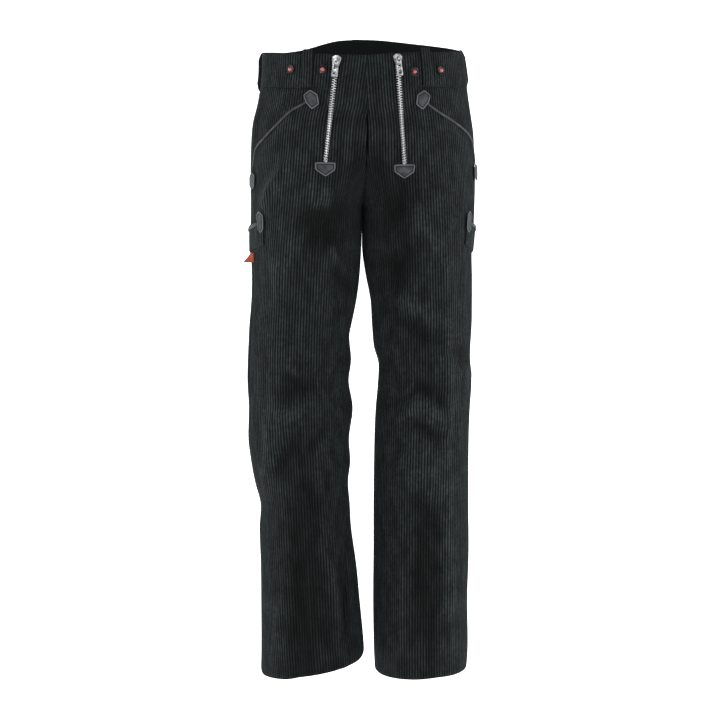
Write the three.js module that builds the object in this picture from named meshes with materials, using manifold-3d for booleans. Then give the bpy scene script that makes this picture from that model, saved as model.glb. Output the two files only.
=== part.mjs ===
// Guild work trousers in wide-wale corduroy, filled out and empty.
// Millimetres. The wearer faces -Y, +Z is up and the wearer's left is +X.
// The origin is the centre of the waistband ring, halfway up the band.
import * as THREE from "three";
import { mergeVertices } from "three/addons/utils/BufferGeometryUtils.js";
import Module from "manifold-3d";

const wasm = await Module();
wasm.setup();

const { PI, sin, cos, acos, exp, hypot, min, max, abs } = Math;
const DEGREE = PI / 180;

// A drop is the distance down from the side's top edge, and a turn is the angle round one leg from the
// outer side through the front. A share runs from 0 at the side seam to 1 at the centre front or inseam,
// and to -1 at the centre back or inseam.
const TOP = 28; // height of the side's top edge
const BAND_DEPTH = 56; // waistband, top edge to seam
const HEM = 1056; // drop of the hem before its own slope
const RISE_START = 90; // drop where the rise starts to curve in
const FORK = 256; // drop of the fork
const CLOTH = 2; // corduroy
const BAND_THICK = 3.2; // two layers and a stiffener
const BAND_LIFT = 0.6; // the band's face stands this far out of the panels
const LEATHER = 1.8;
const SEAM = 0.3; // space left at every seam
const ARC = 95; // mean radius that turns a fold's angle into millimetres

// Right leg: distance from the centre plane to the outer side and to the inseam.
const RIGHT_LEG = [
  { drop: -40, outer: 165, inner: 0 },
  { drop: 0, outer: 166, inner: 0 },
  { drop: 40, outer: 167, inner: 0 },
  { drop: 66, outer: 171, inner: 0 },
  { drop: 90, outer: 175.5, inner: 0 },
  { drop: 115, outer: 182, inner: 0 },
  { drop: 140, outer: 185, inner: 0 },
  { drop: 200, outer: 187, inner: 0 },
  { drop: 256, outer: 186.7, inner: 0.2 },
  { drop: 300, outer: 187.2, inner: 0.8 },
  { drop: 334, outer: 187, inner: 1.8 },
  { drop: 375, outer: 185.6, inner: 4.4 },
  { drop: 415, outer: 186.6, inner: 9.5 },
  { drop: 456, outer: 190.1, inner: 17.8 },
  { drop: 476, outer: 191.2, inner: 21.5 },
  { drop: 517, outer: 193.2, inner: 18.5 },
  { drop: 553, outer: 194, inner: 22.5 },
  { drop: 599, outer: 191.8, inner: 15.8 },
  { drop: 650, outer: 193, inner: 22 },
  { drop: 690, outer: 188.3, inner: 20 },
  { drop: 725, outer: 182, inner: 23.7 },
  { drop: 763, outer: 172.5, inner: 21 },
  { drop: 805, outer: 174.6, inner: 18.5 },
  { drop: 867, outer: 172.8, inner: 9.9 },
  { drop: 930, outer: 172.4, inner: 4 },
  { drop: 1013, outer: 172.4, inner: -3.4 },
  { drop: 1060, outer: 173.5, inner: -3.4 },
];

const LEFT_LEG = [
  { drop: -40, outer: 168, inner: 0 },
  { drop: 0, outer: 169.7, inner: 0 },
  { drop: 40, outer: 175.5, inner: 0 },
  { drop: 66, outer: 178, inner: 0 },
  { drop: 90, outer: 181.5, inner: 0 },
  { drop: 115, outer: 185.5, inner: 0 },
  { drop: 140, outer: 189, inner: 0 },
  { drop: 200, outer: 191, inner: 0 },
  { drop: 256, outer: 190.2, inner: 0.2 },
  { drop: 300, outer: 188.6, inner: 0.8 },
  { drop: 334, outer: 186, inner: 1.4 },
  { drop: 375, outer: 186.8, inner: 7.4 },
  { drop: 415, outer: 187, inner: 15.2 },
  { drop: 456, outer: 186.7, inner: 17.8 },
  { drop: 496, outer: 184.5, inner: 21.4 },
  { drop: 523, outer: 185, inner: 29 },
  { drop: 560, outer: 186.5, inner: 28 },
  { drop: 599, outer: 184.3, inner: 24.5 },
  { drop: 650, outer: 182.7, inner: 22.2 },
  { drop: 763, outer: 182.6, inner: 20.8 },
  { drop: 846, outer: 183.5, inner: 20.8 },
  { drop: 930, outer: 181.5, inner: 20.2 },
  { drop: 1013, outer: 182.6, inner: 21.5 },
  { drop: 1060, outer: 179.6, inner: 23.6 },
];

// Depth of both legs ahead of and behind the side seams.
const DEPTH = [
  { drop: -40, front: 110, back: 112 },
  { drop: 0, front: 113, back: 114 },
  { drop: 60, front: 118, back: 121 },
  { drop: 120, front: 122, back: 132 },
  { drop: 180, front: 124, back: 139 },
  { drop: 230, front: 122, back: 140 },
  { drop: 260, front: 119, back: 138 },
  { drop: 300, front: 115, back: 130 },
  { drop: 400, front: 105, back: 113 },
  { drop: 500, front: 98, back: 105 },
  { drop: 600, front: 93, back: 100 },
  { drop: 700, front: 90, back: 100 },
  { drop: 800, front: 90, back: 103 },
  { drop: 900, front: 93, back: 107 },
  { drop: 1060, front: 97, back: 111 },
];

// Drop of the top edge, which is high at the centre back and low at the centre front.
const TOP_EDGE = [
  { share: -1, right: -30, left: -30 },
  { share: -0.85, right: -26.5, left: -28.5 },
  { share: -0.6, right: -9.5, left: -21 },
  { share: -0.35, right: -2, left: -13 },
  { share: 0, right: 1.5, left: -2 },
  { share: 0.3, right: 5, left: 2 },
  { share: 0.5, right: 8, left: 5 },
  { share: 0.8, right: 11.5, left: 8.5 },
  { share: 1, right: 13, left: 13 },
];

// How far the hem lies below its mean drop.
const HEM_EDGE = [
  { share: -1, right: -36, left: -1 },
  { share: -0.6, right: -20, left: 2 },
  { share: 0, right: -3, left: -7 },
  { share: 0.3, right: -7, left: -9 },
  { share: 0.42, right: -14, left: -9 },
  { share: 0.6, right: -22, left: -6 },
  { share: 0.85, right: -31, left: -3 },
  { share: 1, right: -38, left: -3 },
];

// The largest folds: where each lies, its lean from the vertical towards the outer side, its half length
// and half width, and how far it stands out of the cloth, or in for a trough.
const RIGHT_FOLDS = [
  { turn: 45, drop: 238, lean: 28, long: 45, wide: 17, out: 5 },
  { turn: 96, drop: 243, lean: -52, long: 36, wide: 14, out: 5 },
  { turn: 102, drop: 288, lean: -40, long: 38, wide: 22, out: -10 },
  { turn: 118, drop: 340, lean: -52, long: 30, wide: 13, out: 5 },
  { turn: 130, drop: 378, lean: -40, long: 24, wide: 14, out: -6 },
  { turn: 62, drop: 345, lean: 20, long: 60, wide: 22, out: 3 },
  { turn: 84, drop: 560, lean: 55, long: 48, wide: 17, out: -5 },
  { turn: 70, drop: 600, lean: 60, long: 44, wide: 15, out: 4 },
  { turn: 72, drop: 668, lean: 40, long: 62, wide: 15, out: -6 },
  { turn: 50, drop: 690, lean: 30, long: 60, wide: 18, out: 4 },
  { turn: 98, drop: 742, lean: -10, long: 45, wide: 13, out: -5 },
  { turn: 76, drop: 920, lean: 3, long: 125, wide: 16, out: -6 },
  { turn: 118, drop: 900, lean: -6, long: 90, wide: 14, out: 4 },
  { turn: 130, drop: 930, lean: -4, long: 85, wide: 11, out: -4 },
  { turn: -84, drop: 305, lean: 62, long: 60, wide: 16, out: -6 },
  { turn: -110, drop: 350, lean: 50, long: 45, wide: 15, out: 4 },
  { turn: -66, drop: 590, lean: -58, long: 55, wide: 16, out: -6 },
  { turn: -92, drop: 640, lean: -50, long: 52, wide: 15, out: 5 },
  { turn: -100, drop: 705, lean: 48, long: 50, wide: 15, out: -5 },
  { turn: -78, drop: 900, lean: 4, long: 120, wide: 17, out: -5 },
];

const LEFT_FOLDS = [
  { turn: 112, drop: 250, lean: -38, long: 42, wide: 15, out: -6 },
  { turn: 90, drop: 290, lean: 46, long: 42, wide: 16, out: 4 },
  { turn: 118, drop: 358, lean: -30, long: 44, wide: 20, out: -9 },
  { turn: 98, drop: 428, lean: 62, long: 40, wide: 13, out: 5 },
  { turn: 100, drop: 462, lean: 62, long: 40, wide: 13, out: -5 },
  { turn: 62, drop: 690, lean: 1, long: 260, wide: 10, out: 3 },
  { turn: 40, drop: 510, lean: 84, long: 36, wide: 12, out: -5 },
  { turn: 36, drop: 536, lean: 84, long: 36, wide: 12, out: 4 },
  { turn: 92, drop: 592, lean: 55, long: 50, wide: 14, out: 5 },
  { turn: 88, drop: 566, lean: 58, long: 40, wide: 13, out: -6 },
  { turn: 84, drop: 632, lean: 65, long: 36, wide: 13, out: -5 },
  { turn: 88, drop: 700, lean: 10, long: 55, wide: 24, out: 4 },
  { turn: 86, drop: 775, lean: 20, long: 36, wide: 18, out: -5 },
  { turn: 84, drop: 900, lean: 2, long: 120, wide: 18, out: -5 },
  { turn: -96, drop: 312, lean: 60, long: 56, wide: 16, out: -6 },
  { turn: -70, drop: 360, lean: 48, long: 46, wide: 15, out: 4 },
  { turn: -88, drop: 600, lean: -54, long: 56, wide: 16, out: -6 },
  { turn: -70, drop: 650, lean: -48, long: 50, wide: 15, out: 5 },
  { turn: -104, drop: 700, lean: 50, long: 46, wide: 15, out: -5 },
  { turn: -84, drop: 890, lean: -3, long: 125, wide: 17, out: -5 },
];

const SIDES = {
  right: { sign: -1, leg: RIGHT_LEG, folds: RIGHT_FOLDS },
  left: { sign: 1, leg: LEFT_LEG, folds: LEFT_FOLDS },
};

// Each zip's middle: its distance from the centre plane at the top and at the foot.
const ZIP = {
  right: { top: 46, foot: 68, footDrop: 186 },
  left: { top: 49, foot: 61, footDrop: 189 },
};
const ZIP_SLOT = 10.4; // width of the slot in the cloth
const ZIP_RUN_ON = 10; // the slot's line runs on this far below the zip's foot
const CHAIN = { width: 8.4, low: -2.7, high: 1.3 };
const TAPE = { width: 24, low: -4, high: -3 };

// The slanted pocket's mouth: its turn at each drop, from the waistband seam down to the side seam.
const MOUTH = [
  { drop: 56, right: 60, left: 60 },
  { drop: 70, right: 59, left: 59 },
  { drop: 87, right: 57, left: 57.5 },
  { drop: 105, right: 47, left: 50 },
  { drop: 128, right: 39, left: 35.5 },
  { drop: 148, right: 30, left: 22 },
  { drop: 168, right: 18, left: 17 },
  { drop: 200, right: 13, left: 13 },
  { drop: 216, right: 12, left: 9 },
];
const MOUTH_FOOT = { right: 218, left: 204 };
const FRONT_TAB_AT = { turn: 59.5, drop: 84.5 };
const SIDE_TAB_TURN = 17;
const SIDE_TAB_DROP = { right: 216, left: 202 };
const PIPING = { from: 72, width: 4, low: 0.7, thick: 1.8 };
const FACING = { sink: 2.4, thick: 1.6 };

// Leather shapes, as corners across towards the centre front and down, from the shape's own middle.
const FRONT_TAB = [
  { across: -2, down: -16 },
  { across: -13.5, down: -7 },
  { across: -9.5, down: 4.5 },
  { across: 1, down: 16.5 },
  { across: 13, down: 8 },
  { across: 11, down: -8 },
];
const SIDE_TAB = [
  { across: 0, down: -15 },
  { across: -15, down: -8 },
  { across: -15, down: 7 },
  { across: 0, down: 14 },
  { across: 14, down: 9 },
  { across: 14, down: -10 },
];
const END_TAB = [
  { across: -16.8, down: 0 },
  { across: -16.8, down: 12 },
  { across: 0, down: 23 },
  { across: 16.8, down: 12 },
  { across: 16.8, down: 0 },
];
const CORNER_PATCH = [
  { across: 0, down: -19 },
  { across: -8, down: -12 },
  { across: -8, down: 11 },
  { across: 0, down: 18 },
  { across: 8, down: 11 },
  { across: 8, down: -12 },
];
const LEATHER_LIFT = 0.9; // what lies on the cloth starts this far out of it

// The rule pocket wraps the side seam, dipping towards it.
const RULE = { reach: 40, corner: 280, cornerFoot: 320, dip: 15, footDip: 16, binding: 6, patch: 3 };
const RULE_LIFT = 3.2; // leather on top of the rule pocket

const TAG = { turn: 19, width: 13, drop: 335.5, length: 15, low: 1.2, stand: 11, thick: 1.2 };

// Belt loops, each at its share of the way round, with its strip's seat on the band at both ends.
const LOOP = { width: 18, thick: 2.4, seat: 1, ramp: 0.2, bow: 0.7 };
const LOOPS = [
  { name: "front", share: 0.62, stand: 2.2, above: 7, below: -1 },
  { name: "side", share: -0.13, stand: 7.2, above: 0, below: 9 },
];
const BACK_LOOP = { name: "back", share: -1, stand: 2.2, above: 0, below: 5 };

const BUTTON = { radius: 7.2, edge: 1.3, rim: 2.2, ring: 6.4, dome: 4.6, height: 4.4 };
const BUTTONS = [
  { name: "outer_right", side: "right", turn: 43.3, drop: 34.5 },
  { name: "inner_right", side: "right", turn: 65, drop: 36 },
  { name: "inner_left", side: "left", turn: 63.7, drop: 39 },
  { name: "outer_left", side: "left", turn: 45.5, drop: 35.5 },
];

// The slider's shape in its own frame: x across the zip, y up along it, z out of the cloth.
const SLIDER = { crown: 2.5, half: 7.4, waist: 4.6, up: 8, down: 9, shoulder: 3, low: 1.6, high: 3.2 };
const NECK = { width: 4.5, depth: 4, back: 2.4, clear: 0.4 };
const BRIDGE = { half: 1.3, inner: 2.2, wall: 1.2, clear: 1.45 };
const PULL = { half: 4.6, foot: 5.4, length: 28, thick: 1.4, bar: 0.9, bevel: 1.5 };
const PULL_WINDOW = { half: 2.2, foot: 4.8 }; // the bridge passes through it
const PULL_SLOT = { half: 2.6, footHalf: 2.9, top: 8.8, foot: 14.8 };
const PULL_EYE = { radius: 2.7, up: 5.6 };
const SLIDER_DROP = 10; // from the top edge down to the slider's bridge

const CORDUROY = { color: 0x242a2a, roughness: 0.95, metalness: 0 };
const HIDE = { color: 0x50575a, roughness: 0.6, metalness: 0 };
const STEEL = { color: 0xc6c9cb, roughness: 0.3, metalness: 1 };
const DARK_METAL = { color: 0x2a2a2c, roughness: 0.4, metalness: 1 };
const TAPE_CLOTH = { color: 0x141617, roughness: 0.9, metalness: 0 };
const RED_CLOTH = { color: 0x8f2a1c, roughness: 0.8, metalness: 0 };

const trousers = new THREE.Group();

// The value of a table's column at a place between its rows, on a smooth curve through them.
function between(table, key, at, column) {
  const last = table.length - 1;
  const place = min(max(at, table[0][key]), table[last][key]);
  let k = 0;
  while (k < last - 1 && table[k + 1][key] <= place) k++;
  const slope = (i) => {
    const before = table[max(i - 1, 0)];
    const after = table[min(i + 1, last)];
    return (after[column] - before[column]) / (after[key] - before[key]);
  };
  const width = table[k + 1][key] - table[k][key];
  const t = (place - table[k][key]) / width;
  const start = (2 * t ** 3 - 3 * t ** 2 + 1) * table[k][column];
  const end = (3 * t ** 2 - 2 * t ** 3) * table[k + 1][column];
  const leave = (t ** 3 - 2 * t ** 2 + t) * width * slope(k);
  const arrive = (t ** 3 - t ** 2) * width * slope(k + 1);
  return start + end + leave + arrive;
}

function fade(at, from, to) {
  const t = min(max((at - from) / (to - from), 0), 1);
  return t * t * (3 - 2 * t);
}

// One leg's level ring: the turn at its inner end, its half width and middle, and its depths.
function ring(side, drop) {
  const { leg } = SIDES[side];
  const outer = between(leg, "drop", drop, "outer");
  const front = between(DEPTH, "drop", drop, "front");
  const back = between(DEPTH, "drop", drop, "back");
  if (drop >= FORK) {
    const half = (outer - between(leg, "drop", drop, "inner")) / 2;
    return { end: PI, half, middle: outer - half, front, back };
  }
  const t = max(0, (drop - RISE_START) / (FORK - RISE_START));
  const inwards = 0.7 * fade(t, 0, 1) + 0.3 * t * t;
  const half = outer / (1 + inwards);
  return { end: acos(-inwards), half, middle: outer - half, front, back };
}

function foldsAt(side, turn, drop) {
  let out = 0;
  for (const fold of SIDES[side].folds) {
    const across = (turn - fold.turn * DEGREE) * ARC;
    const down = drop - fold.drop;
    const lean = fold.lean * DEGREE;
    const along = (down * cos(lean) - across * sin(lean)) / fold.long;
    const off = (across * cos(lean) + down * sin(lean)) / fold.wide;
    out += fold.out * exp(-along * along - off * off);
  }
  return out;
}

function skin(side, turn, drop) {
  const { end, half, middle, front, back } = ring(side, drop);
  const fold = foldsAt(side, turn, drop);
  const depth = (turn > 0 ? front : back) + fold;
  const x = middle + (half + fold) * cos(turn);
  return new THREE.Vector3(SIDES[side].sign * x, -depth * sin(turn), TOP - drop);
}

function outward(side, turn, drop) {
  const step = 0.004;
  const across = skin(side, turn + step, drop).sub(skin(side, turn - step, drop));
  const down = skin(side, turn, drop + 0.4).sub(skin(side, turn, drop - 0.4));
  return across.cross(down).multiplyScalar(SIDES[side].sign).normalize();
}

// A point of the cloth's face, moved out of it. Above the knee it stays on its own side of the centre.
function cloth(side, turn, drop, out = 0) {
  const point = skin(side, turn, drop).addScaledVector(outward(side, turn, drop), out);
  const { sign } = SIDES[side];
  if (drop < 880) point.x = sign * max(point.x * sign, SEAM / 2);
  return point;
}

function turnOf(side, share, drop) {
  const { end, half } = ring(side, drop);
  const gap = SEAM / 2 / half;
  const turn = abs(share) * (end - 2 * gap) + gap;
  return share < 0 ? -turn : turn;
}

// The turn at which the front lies a given distance from the centre plane.
function turnAcross(side, across, drop) {
  const { half, middle } = ring(side, drop);
  return acos(min(max((across - middle) / half, -1), 1));
}

const topEdge = (side, share) => between(TOP_EDGE, "share", share, side);
const hemEdge = (side, share) => between(HEM_EDGE, "share", share, side);

// A level row bent to follow the top edge near the waist and the hem's slope near the foot.
function levelAt(side, share, row) {
  const low = topEdge(side, share) * (1 - fade(row, BAND_DEPTH, 230));
  return row + low + hemEdge(side, share) * fade(row, 760, HEM);
}

// A closed wall over a grid of rows and columns. at(row, column, face) gives its points, with face true
// outside and false inside. kept(row, column) tells which cells are there.
function wall(rows, columns, at, kept = () => true) {
  const points = [];
  const index = [];
  const numbers = new Map();
  const number = (row, column, face) => {
    const key = (row * columns + column) * 2 + (face ? 1 : 0);
    if (!numbers.has(key)) {
      numbers.set(key, points.length / 3);
      points.push(...at(row, column, face).toArray());
    }
    return numbers.get(key);
  };
  const quad = (a, b, c, d) => index.push(a, b, c, a, c, d);
  const has = (r, c) => r >= 0 && c >= 0 && r < rows - 1 && c < columns - 1 && kept(r, c);
  for (let r = 0; r < rows - 1; r++) {
    for (let c = 0; c < columns - 1; c++) {
      if (!has(r, c)) continue;
      const corners = [[r, c], [r, c + 1], [r + 1, c + 1], [r + 1, c]];
      const face = corners.map(([i, j]) => number(i, j, true));
      const back = corners.map(([i, j]) => number(i, j, false));
      quad(...face);
      quad(back[2], back[1], back[0], back[3]);
      const beyond = [has(r - 1, c), has(r, c + 1), has(r + 1, c), has(r, c - 1)];
      beyond.forEach((there, k) => {
        const next = (k + 1) % 4;
        if (!there) quad(face[next], face[k], back[k], back[next]);
      });
    }
  }
  return closed(points, index);
}

// Makes the geometry face outwards, whichever way its grid ran.
function closed(points, index) {
  const at = (i) => new THREE.Vector3().fromArray(points, index[i] * 3);
  let volume = 0;
  for (let i = 0; i < index.length; i += 3) volume += at(i).dot(at(i + 1).cross(at(i + 2)));
  if (volume < 0) index.reverse();
  const geometry = new THREE.BufferGeometry();
  geometry.setAttribute("position", new THREE.Float32BufferAttribute(points, 3));
  geometry.setIndex(index);
  geometry.computeVertexNormals();
  return geometry;
}

function add(name, geometry, look, parent = trousers) {
  const mesh = new THREE.Mesh(geometry, new THREE.MeshStandardMaterial(look));
  mesh.name = name;
  parent.add(mesh);
  return mesh;
}

const spread = (from, to, steps) =>
  Array.from({ length: steps + 1 }, (_, i) => from + ((to - from) * i) / steps);

// Rows of a leg panel: close together where the rise curves, wider down the leg.
const BAND_ROWS = spread(0, BAND_DEPTH, 3).slice(0, 3);
const LEG_ROWS = [
  ...spread(BAND_DEPTH, 188, 7),
  202, 216, 229, 240, 249, FORK,
  ...spread(266, 800, 21),
  ...spread(830, HEM, 6),
];

const zipAcross = (side, drop) => {
  const { top, foot, footDrop } = ZIP[side];
  return top + (foot - top) * min(drop / footDrop, 1);
};
const mouthTurn = (side, drop) =>
  drop < MOUTH_FOOT[side] ? between(MOUTH, "drop", drop, side) * DEGREE : 0;

// The front panel's columns: pocket mouth or side seam to the zip slot, the slot, and the slot to the centre.
const LATERAL = 8;
const FLAP = 4;
function frontTurn(side, column, row) {
  const level = levelAt(side, 0.8, row);
  const { half } = ring(side, level);
  const start = max(turnOf(side, 0, level), mouthTurn(side, level));
  const centre = turnOf(side, 1, level);
  const slot = ZIP_SLOT / 2 / half;
  const end = ZIP[side].footDrop + ZIP_RUN_ON;
  const share = turnAcross(side, ZIP[side].foot, end) / ring(side, end).end;
  const zip = level < end ? turnAcross(side, zipAcross(side, level), level) : share * centre;
  if (column <= LATERAL) return start + ((zip - slot - start) * column) / LATERAL;
  return zip + slot + ((centre - zip - slot) * (column - LATERAL - 1)) / FLAP;
}

function buildFront(side) {
  const rows = [...BAND_ROWS, ...LEG_ROWS];
  const columns = LATERAL + FLAP + 2;
  const slotRows = rows.filter((row) => levelAt(side, 0.8, row) < ZIP[side].footDrop).length;
  const at = (r, c, face) => {
    const turn = frontTurn(side, c, rows[r]);
    const share = turn / ring(side, rows[r]).end;
    const seam = rows[r] === BAND_DEPTH && c <= LATERAL ? SEAM : 0;
    const drop = levelAt(side, share, rows[r]) + seam;
    return cloth(side, turn, drop, face ? 0 : -CLOTH);
  };
  const kept = (r, c) => {
    if (c < LATERAL) return r >= BAND_ROWS.length;
    return c > LATERAL || r >= slotRows;
  };
  add(`front_${side}`, wall(rows.length, columns, at, kept), CORDUROY);
}

function buildBack(side) {
  const columns = 13;
  const at = (r, c, face) => {
    const share = -c / (columns - 1);
    const seam = r === 0 ? SEAM : 0;
    const drop = levelAt(side, share, LEG_ROWS[r]) + seam;
    return cloth(side, -turnOf(side, -share, drop), drop, face ? 0 : -CLOTH);
  };
  add(`back_${side}`, wall(LEG_ROWS.length, columns, at), CORDUROY);
}

function buildWaistband(side) {
  const middle = BAND_DEPTH / 2 + topEdge(side, 0.8);
  const zipShare = turnAcross(side, zipAcross(side, middle) + ZIP_SLOT / 2, middle) / (PI / 2);
  const shares = spread(zipShare, -1, 24);
  const rows = spread(0, BAND_DEPTH, 3);
  const at = (r, c, face) => {
    const drop = topEdge(side, shares[c]) + rows[r];
    const turn = c === 0 ? frontTurn(side, LATERAL, rows[r]) : turnOf(side, shares[c], drop);
    return cloth(side, turn, drop, face ? BAND_LIFT : BAND_LIFT - BAND_THICK);
  };
  add(`waistband_${side}`, wall(rows.length, shares.length, at), CORDUROY);
}

// The slanted pocket's back, seen behind the mouth and running on under the front panel.
function buildFacing(side) {
  const rows = LEG_ROWS.filter((row) => levelAt(side, 0.8, row) < MOUTH_FOOT[side]);
  const columns = 8;
  const at = (r, c, face) => {
    const { end, half } = ring(side, rows[r]);
    const start = SEAM / half;
    const mouth = frontTurn(side, 0, rows[r]);
    const shown = start + ((mouth - start) * c) / (columns - 2);
    const turn = c < columns - 1 ? shown : frontTurn(side, 1, rows[r]);
    const drop = levelAt(side, turn / end, rows[r]) + (r === 0 ? SEAM : 0);
    const sink = FACING.sink * fade(c, 0, columns / 2);
    return cloth(side, turn, drop, face ? -sink : -sink - FACING.thick);
  };
  add(`pocket_facing_${side}`, wall(rows.length, columns, at), CORDUROY);
}

function buildPiping(side) {
  const rows = LEG_ROWS.filter((row) => {
    const level = levelAt(side, 0.3, row);
    return level > PIPING.from && level < MOUTH_FOOT[side];
  });
  const at = (r, c, face) => {
    const edge = frontTurn(side, 0, rows[r]);
    const turn = edge + (c * PIPING.width) / 2 / ring(side, rows[r]).half;
    const drop = levelAt(side, turn / ring(side, rows[r]).end, rows[r]);
    return cloth(side, turn, drop, face ? PIPING.low + PIPING.thick : PIPING.low);
  };
  add(`pocket_piping_${side}`, wall(rows.length, 3, at), HIDE);
}

// Millimetres of cloth for each radian of turn at a place.
function metric(side, turn, drop) {
  const step = 0.01;
  return skin(side, turn + step, drop).distanceTo(skin(side, turn - step, drop)) / (2 * step);
}

// A small sheet on the cloth with a straight-sided outline, bent to the cloth under it. On the front it
// keeps upright, at the side it follows the leg.
function plate(side, turn, drop, corners, low, thick, rotate = 0) {
  const scale = metric(side, turn, drop);
  const { half, middle } = ring(side, drop);
  const middleAcross = middle + half * cos(turn);
  const turnAt = (y) => (turn > 45 * DEGREE ? turnAcross(side, middleAcross, drop + y) : turn);
  const place = ({ across, down }, shrink, out) => {
    const x = (across * cos(rotate) - down * sin(rotate)) * shrink;
    const y = (across * sin(rotate) + down * cos(rotate)) * shrink;
    return cloth(side, turnAt(y) + x / scale, drop + y, out);
  };
  const outline = corners.flatMap((corner, k) => {
    const next = corners[(k + 1) % corners.length];
    const length = hypot(next.across - corner.across, next.down - corner.down);
    const steps = Math.ceil(length / 9);
    return spread(0, 1, steps).slice(0, steps).map((t) => ({
      across: corner.across + (next.across - corner.across) * t,
      down: corner.down + (next.down - corner.down) * t,
    }));
  });
  const points = [];
  const index = [];
  const count = outline.length;
  for (const out of [low + thick, low]) {
    points.push(...place(outline[0], 0, out).toArray());
    for (const shrink of [0.5, 1]) {
      for (const corner of outline) points.push(...place(corner, shrink, out).toArray());
    }
  }
  const back = 2 * count + 1;
  for (let k = 0; k < count; k++) {
    const n = (k + 1) % count;
    const [inner, innerNext, outer, outerNext] = [1 + k, 1 + n, 1 + count + k, 1 + count + n];
    index.push(0, inner, innerNext, inner, outer, outerNext, inner, outerNext, innerNext);
    index.push(back, back + innerNext, back + inner, back + inner, back + outerNext, back + outer);
    index.push(back + inner, back + innerNext, back + outerNext);
    index.push(outer, back + outer, back + outerNext, outer, back + outerNext, outerNext);
  }
  return closed(points, index);
}

function buildPocketTabs(side) {
  const lift = PIPING.low + PIPING.thick + SEAM;
  const front = plate(side, FRONT_TAB_AT.turn * DEGREE, FRONT_TAB_AT.drop, FRONT_TAB, lift, LEATHER);
  add(`pocket_front_tab_${side}`, front, HIDE);
  const foot = plate(side, SIDE_TAB_TURN * DEGREE, SIDE_TAB_DROP[side], SIDE_TAB, lift, LEATHER);
  add(`pocket_side_tab_${side}`, foot, HIDE);
}

function buildRulePocket(side) {
  const columns = 17;
  const turnAt = (c) => RULE.reach * DEGREE * (1 - (2 * c) / (columns - 1));
  const dipAt = (c) => 1 - abs(1 - (2 * c) / (columns - 1));
  const topAt = (c) => RULE.corner + RULE.dip * dipAt(c);
  const body = (r, c, face) => {
    const foot = RULE.cornerFoot + RULE.footDip * dipAt(c);
    const drop = topAt(c) + ((foot - topAt(c)) * r) / 2;
    return cloth(side, turnAt(c), drop, LEATHER_LIFT + (face ? CLOTH : 0));
  };
  add(`rule_pocket_${side}`, wall(3, columns, body), CORDUROY);
  const covered = 2; // columns under each corner patch
  const binding = (r, c, face) => {
    const out = face ? RULE_LIFT + LEATHER : RULE_LIFT;
    return cloth(side, turnAt(c + covered), topAt(c + covered) + RULE.binding * r, out);
  };
  add(`rule_binding_${side}`, wall(2, columns - 2 * covered, binding), HIDE);
  for (const [name, way] of [["front", 1], ["back", -1]]) {
    const turn = way * (RULE.reach - 3) * DEGREE;
    const patch = plate(side, turn, RULE.corner + RULE.patch, CORNER_PATCH, RULE_LIFT, LEATHER);
    add(`rule_corner_${name}_${side}`, patch, HIDE);
  }
}

// A belt loop: a strip from above the top edge to below the seam, standing clear of the band between.
function buildLoop(name, side, { share, stand, above, below }) {
  const { width, thick, seat, ramp, bow } = LOOP;
  const steps = 10;
  const at = (r, c, face) => {
    const t = r / steps;
    const drop = topEdge(side, share) - above + (above + BAND_DEPTH + below) * t;
    const out = seat + stand * min(1, t / ramp, (1 - t) / ramp) ** bow + (face ? thick : 0);
    const half = ((c - 0.5) * width) / metric(side, share * (PI / 2), BAND_DEPTH / 2);
    if (share > -1) return cloth(side, share * (PI / 2) + half, drop, out);
    return cloth(c ? "left" : "right", abs(half) - PI / 2, drop, out);
  };
  add(name, wall(steps + 1, 2, at), CORDUROY);
}

// A frame on the cloth: x across towards the wearer's left, y up along the cloth, z out of it.
function standOn(group, side, turn, drop, out, lean = 0) {
  const z = outward(side, turn, drop);
  const y = skin(side, turn, drop - 4).sub(skin(side, turn, drop + 4)).normalize();
  const x = y.clone().cross(z).normalize();
  y.copy(z).cross(x);
  group.position.copy(cloth(side, turn, drop, out));
  group.quaternion.setFromRotationMatrix(new THREE.Matrix4().makeBasis(x, y, z));
  group.rotateZ(lean);
  trousers.add(group);
}

function buildButton({ name, side, turn, drop }) {
  const { radius, edge, rim, ring: ringRadius, dome, height } = BUTTON;
  const profile = [[0, 0], [radius, 0], [radius, edge], [ringRadius, rim], [dome, rim]];
  const rise = height - rim;
  for (const t of [0.35, 0.7, 1]) profile.push([dome * cos((t * PI) / 2), rim + rise * sin((t * PI) / 2)]);
  profile[profile.length - 1][0] = 0;
  const shape = new THREE.LatheGeometry(profile.map(([x, y]) => new THREE.Vector2(x, y)), 20);
  shape.rotateX(PI / 2);
  const group = new THREE.Group();
  standOn(group, side, turn * DEGREE, drop, BAND_LIFT + 0.4);
  add(`button_${name}`, shape, DARK_METAL, group);
}

// A strip along the zip between two drops, with its own width and depths.
function zipStrip(side, from, to, steps, { width, low, high }) {
  const at = (r, c, face) => {
    const drop = from + ((to - from) * r) / steps;
    const turn = turnAcross(side, zipAcross(side, drop), drop);
    return cloth(side, turn + ((c - 0.5) * width) / metric(side, turn, drop), drop, face ? high : low);
  };
  return wall(steps + 1, 2, at);
}

function solid(geometry) {
  const bare = geometry.index ? geometry.clone() : mergeVertices(geometry);
  for (const name of ["normal", "uv"]) bare.deleteAttribute(name);
  const merged = mergeVertices(bare, 1e-4);
  const triVerts = new Uint32Array(merged.index.array);
  const vertProperties = new Float32Array(merged.attributes.position.array);
  return new wasm.Manifold(new wasm.Mesh({ numProp: 3, vertProperties, triVerts }));
}

function joined(parts) {
  const mesh = parts.map(solid).reduce((a, b) => a.add(b)).getMesh();
  return closed([...mesh.vertProperties], [...mesh.triVerts]);
}

const extrude = (shape, depth, curveSegments = 8) =>
  new THREE.ExtrudeGeometry(shape, { depth, bevelEnabled: false, curveSegments });

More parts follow.
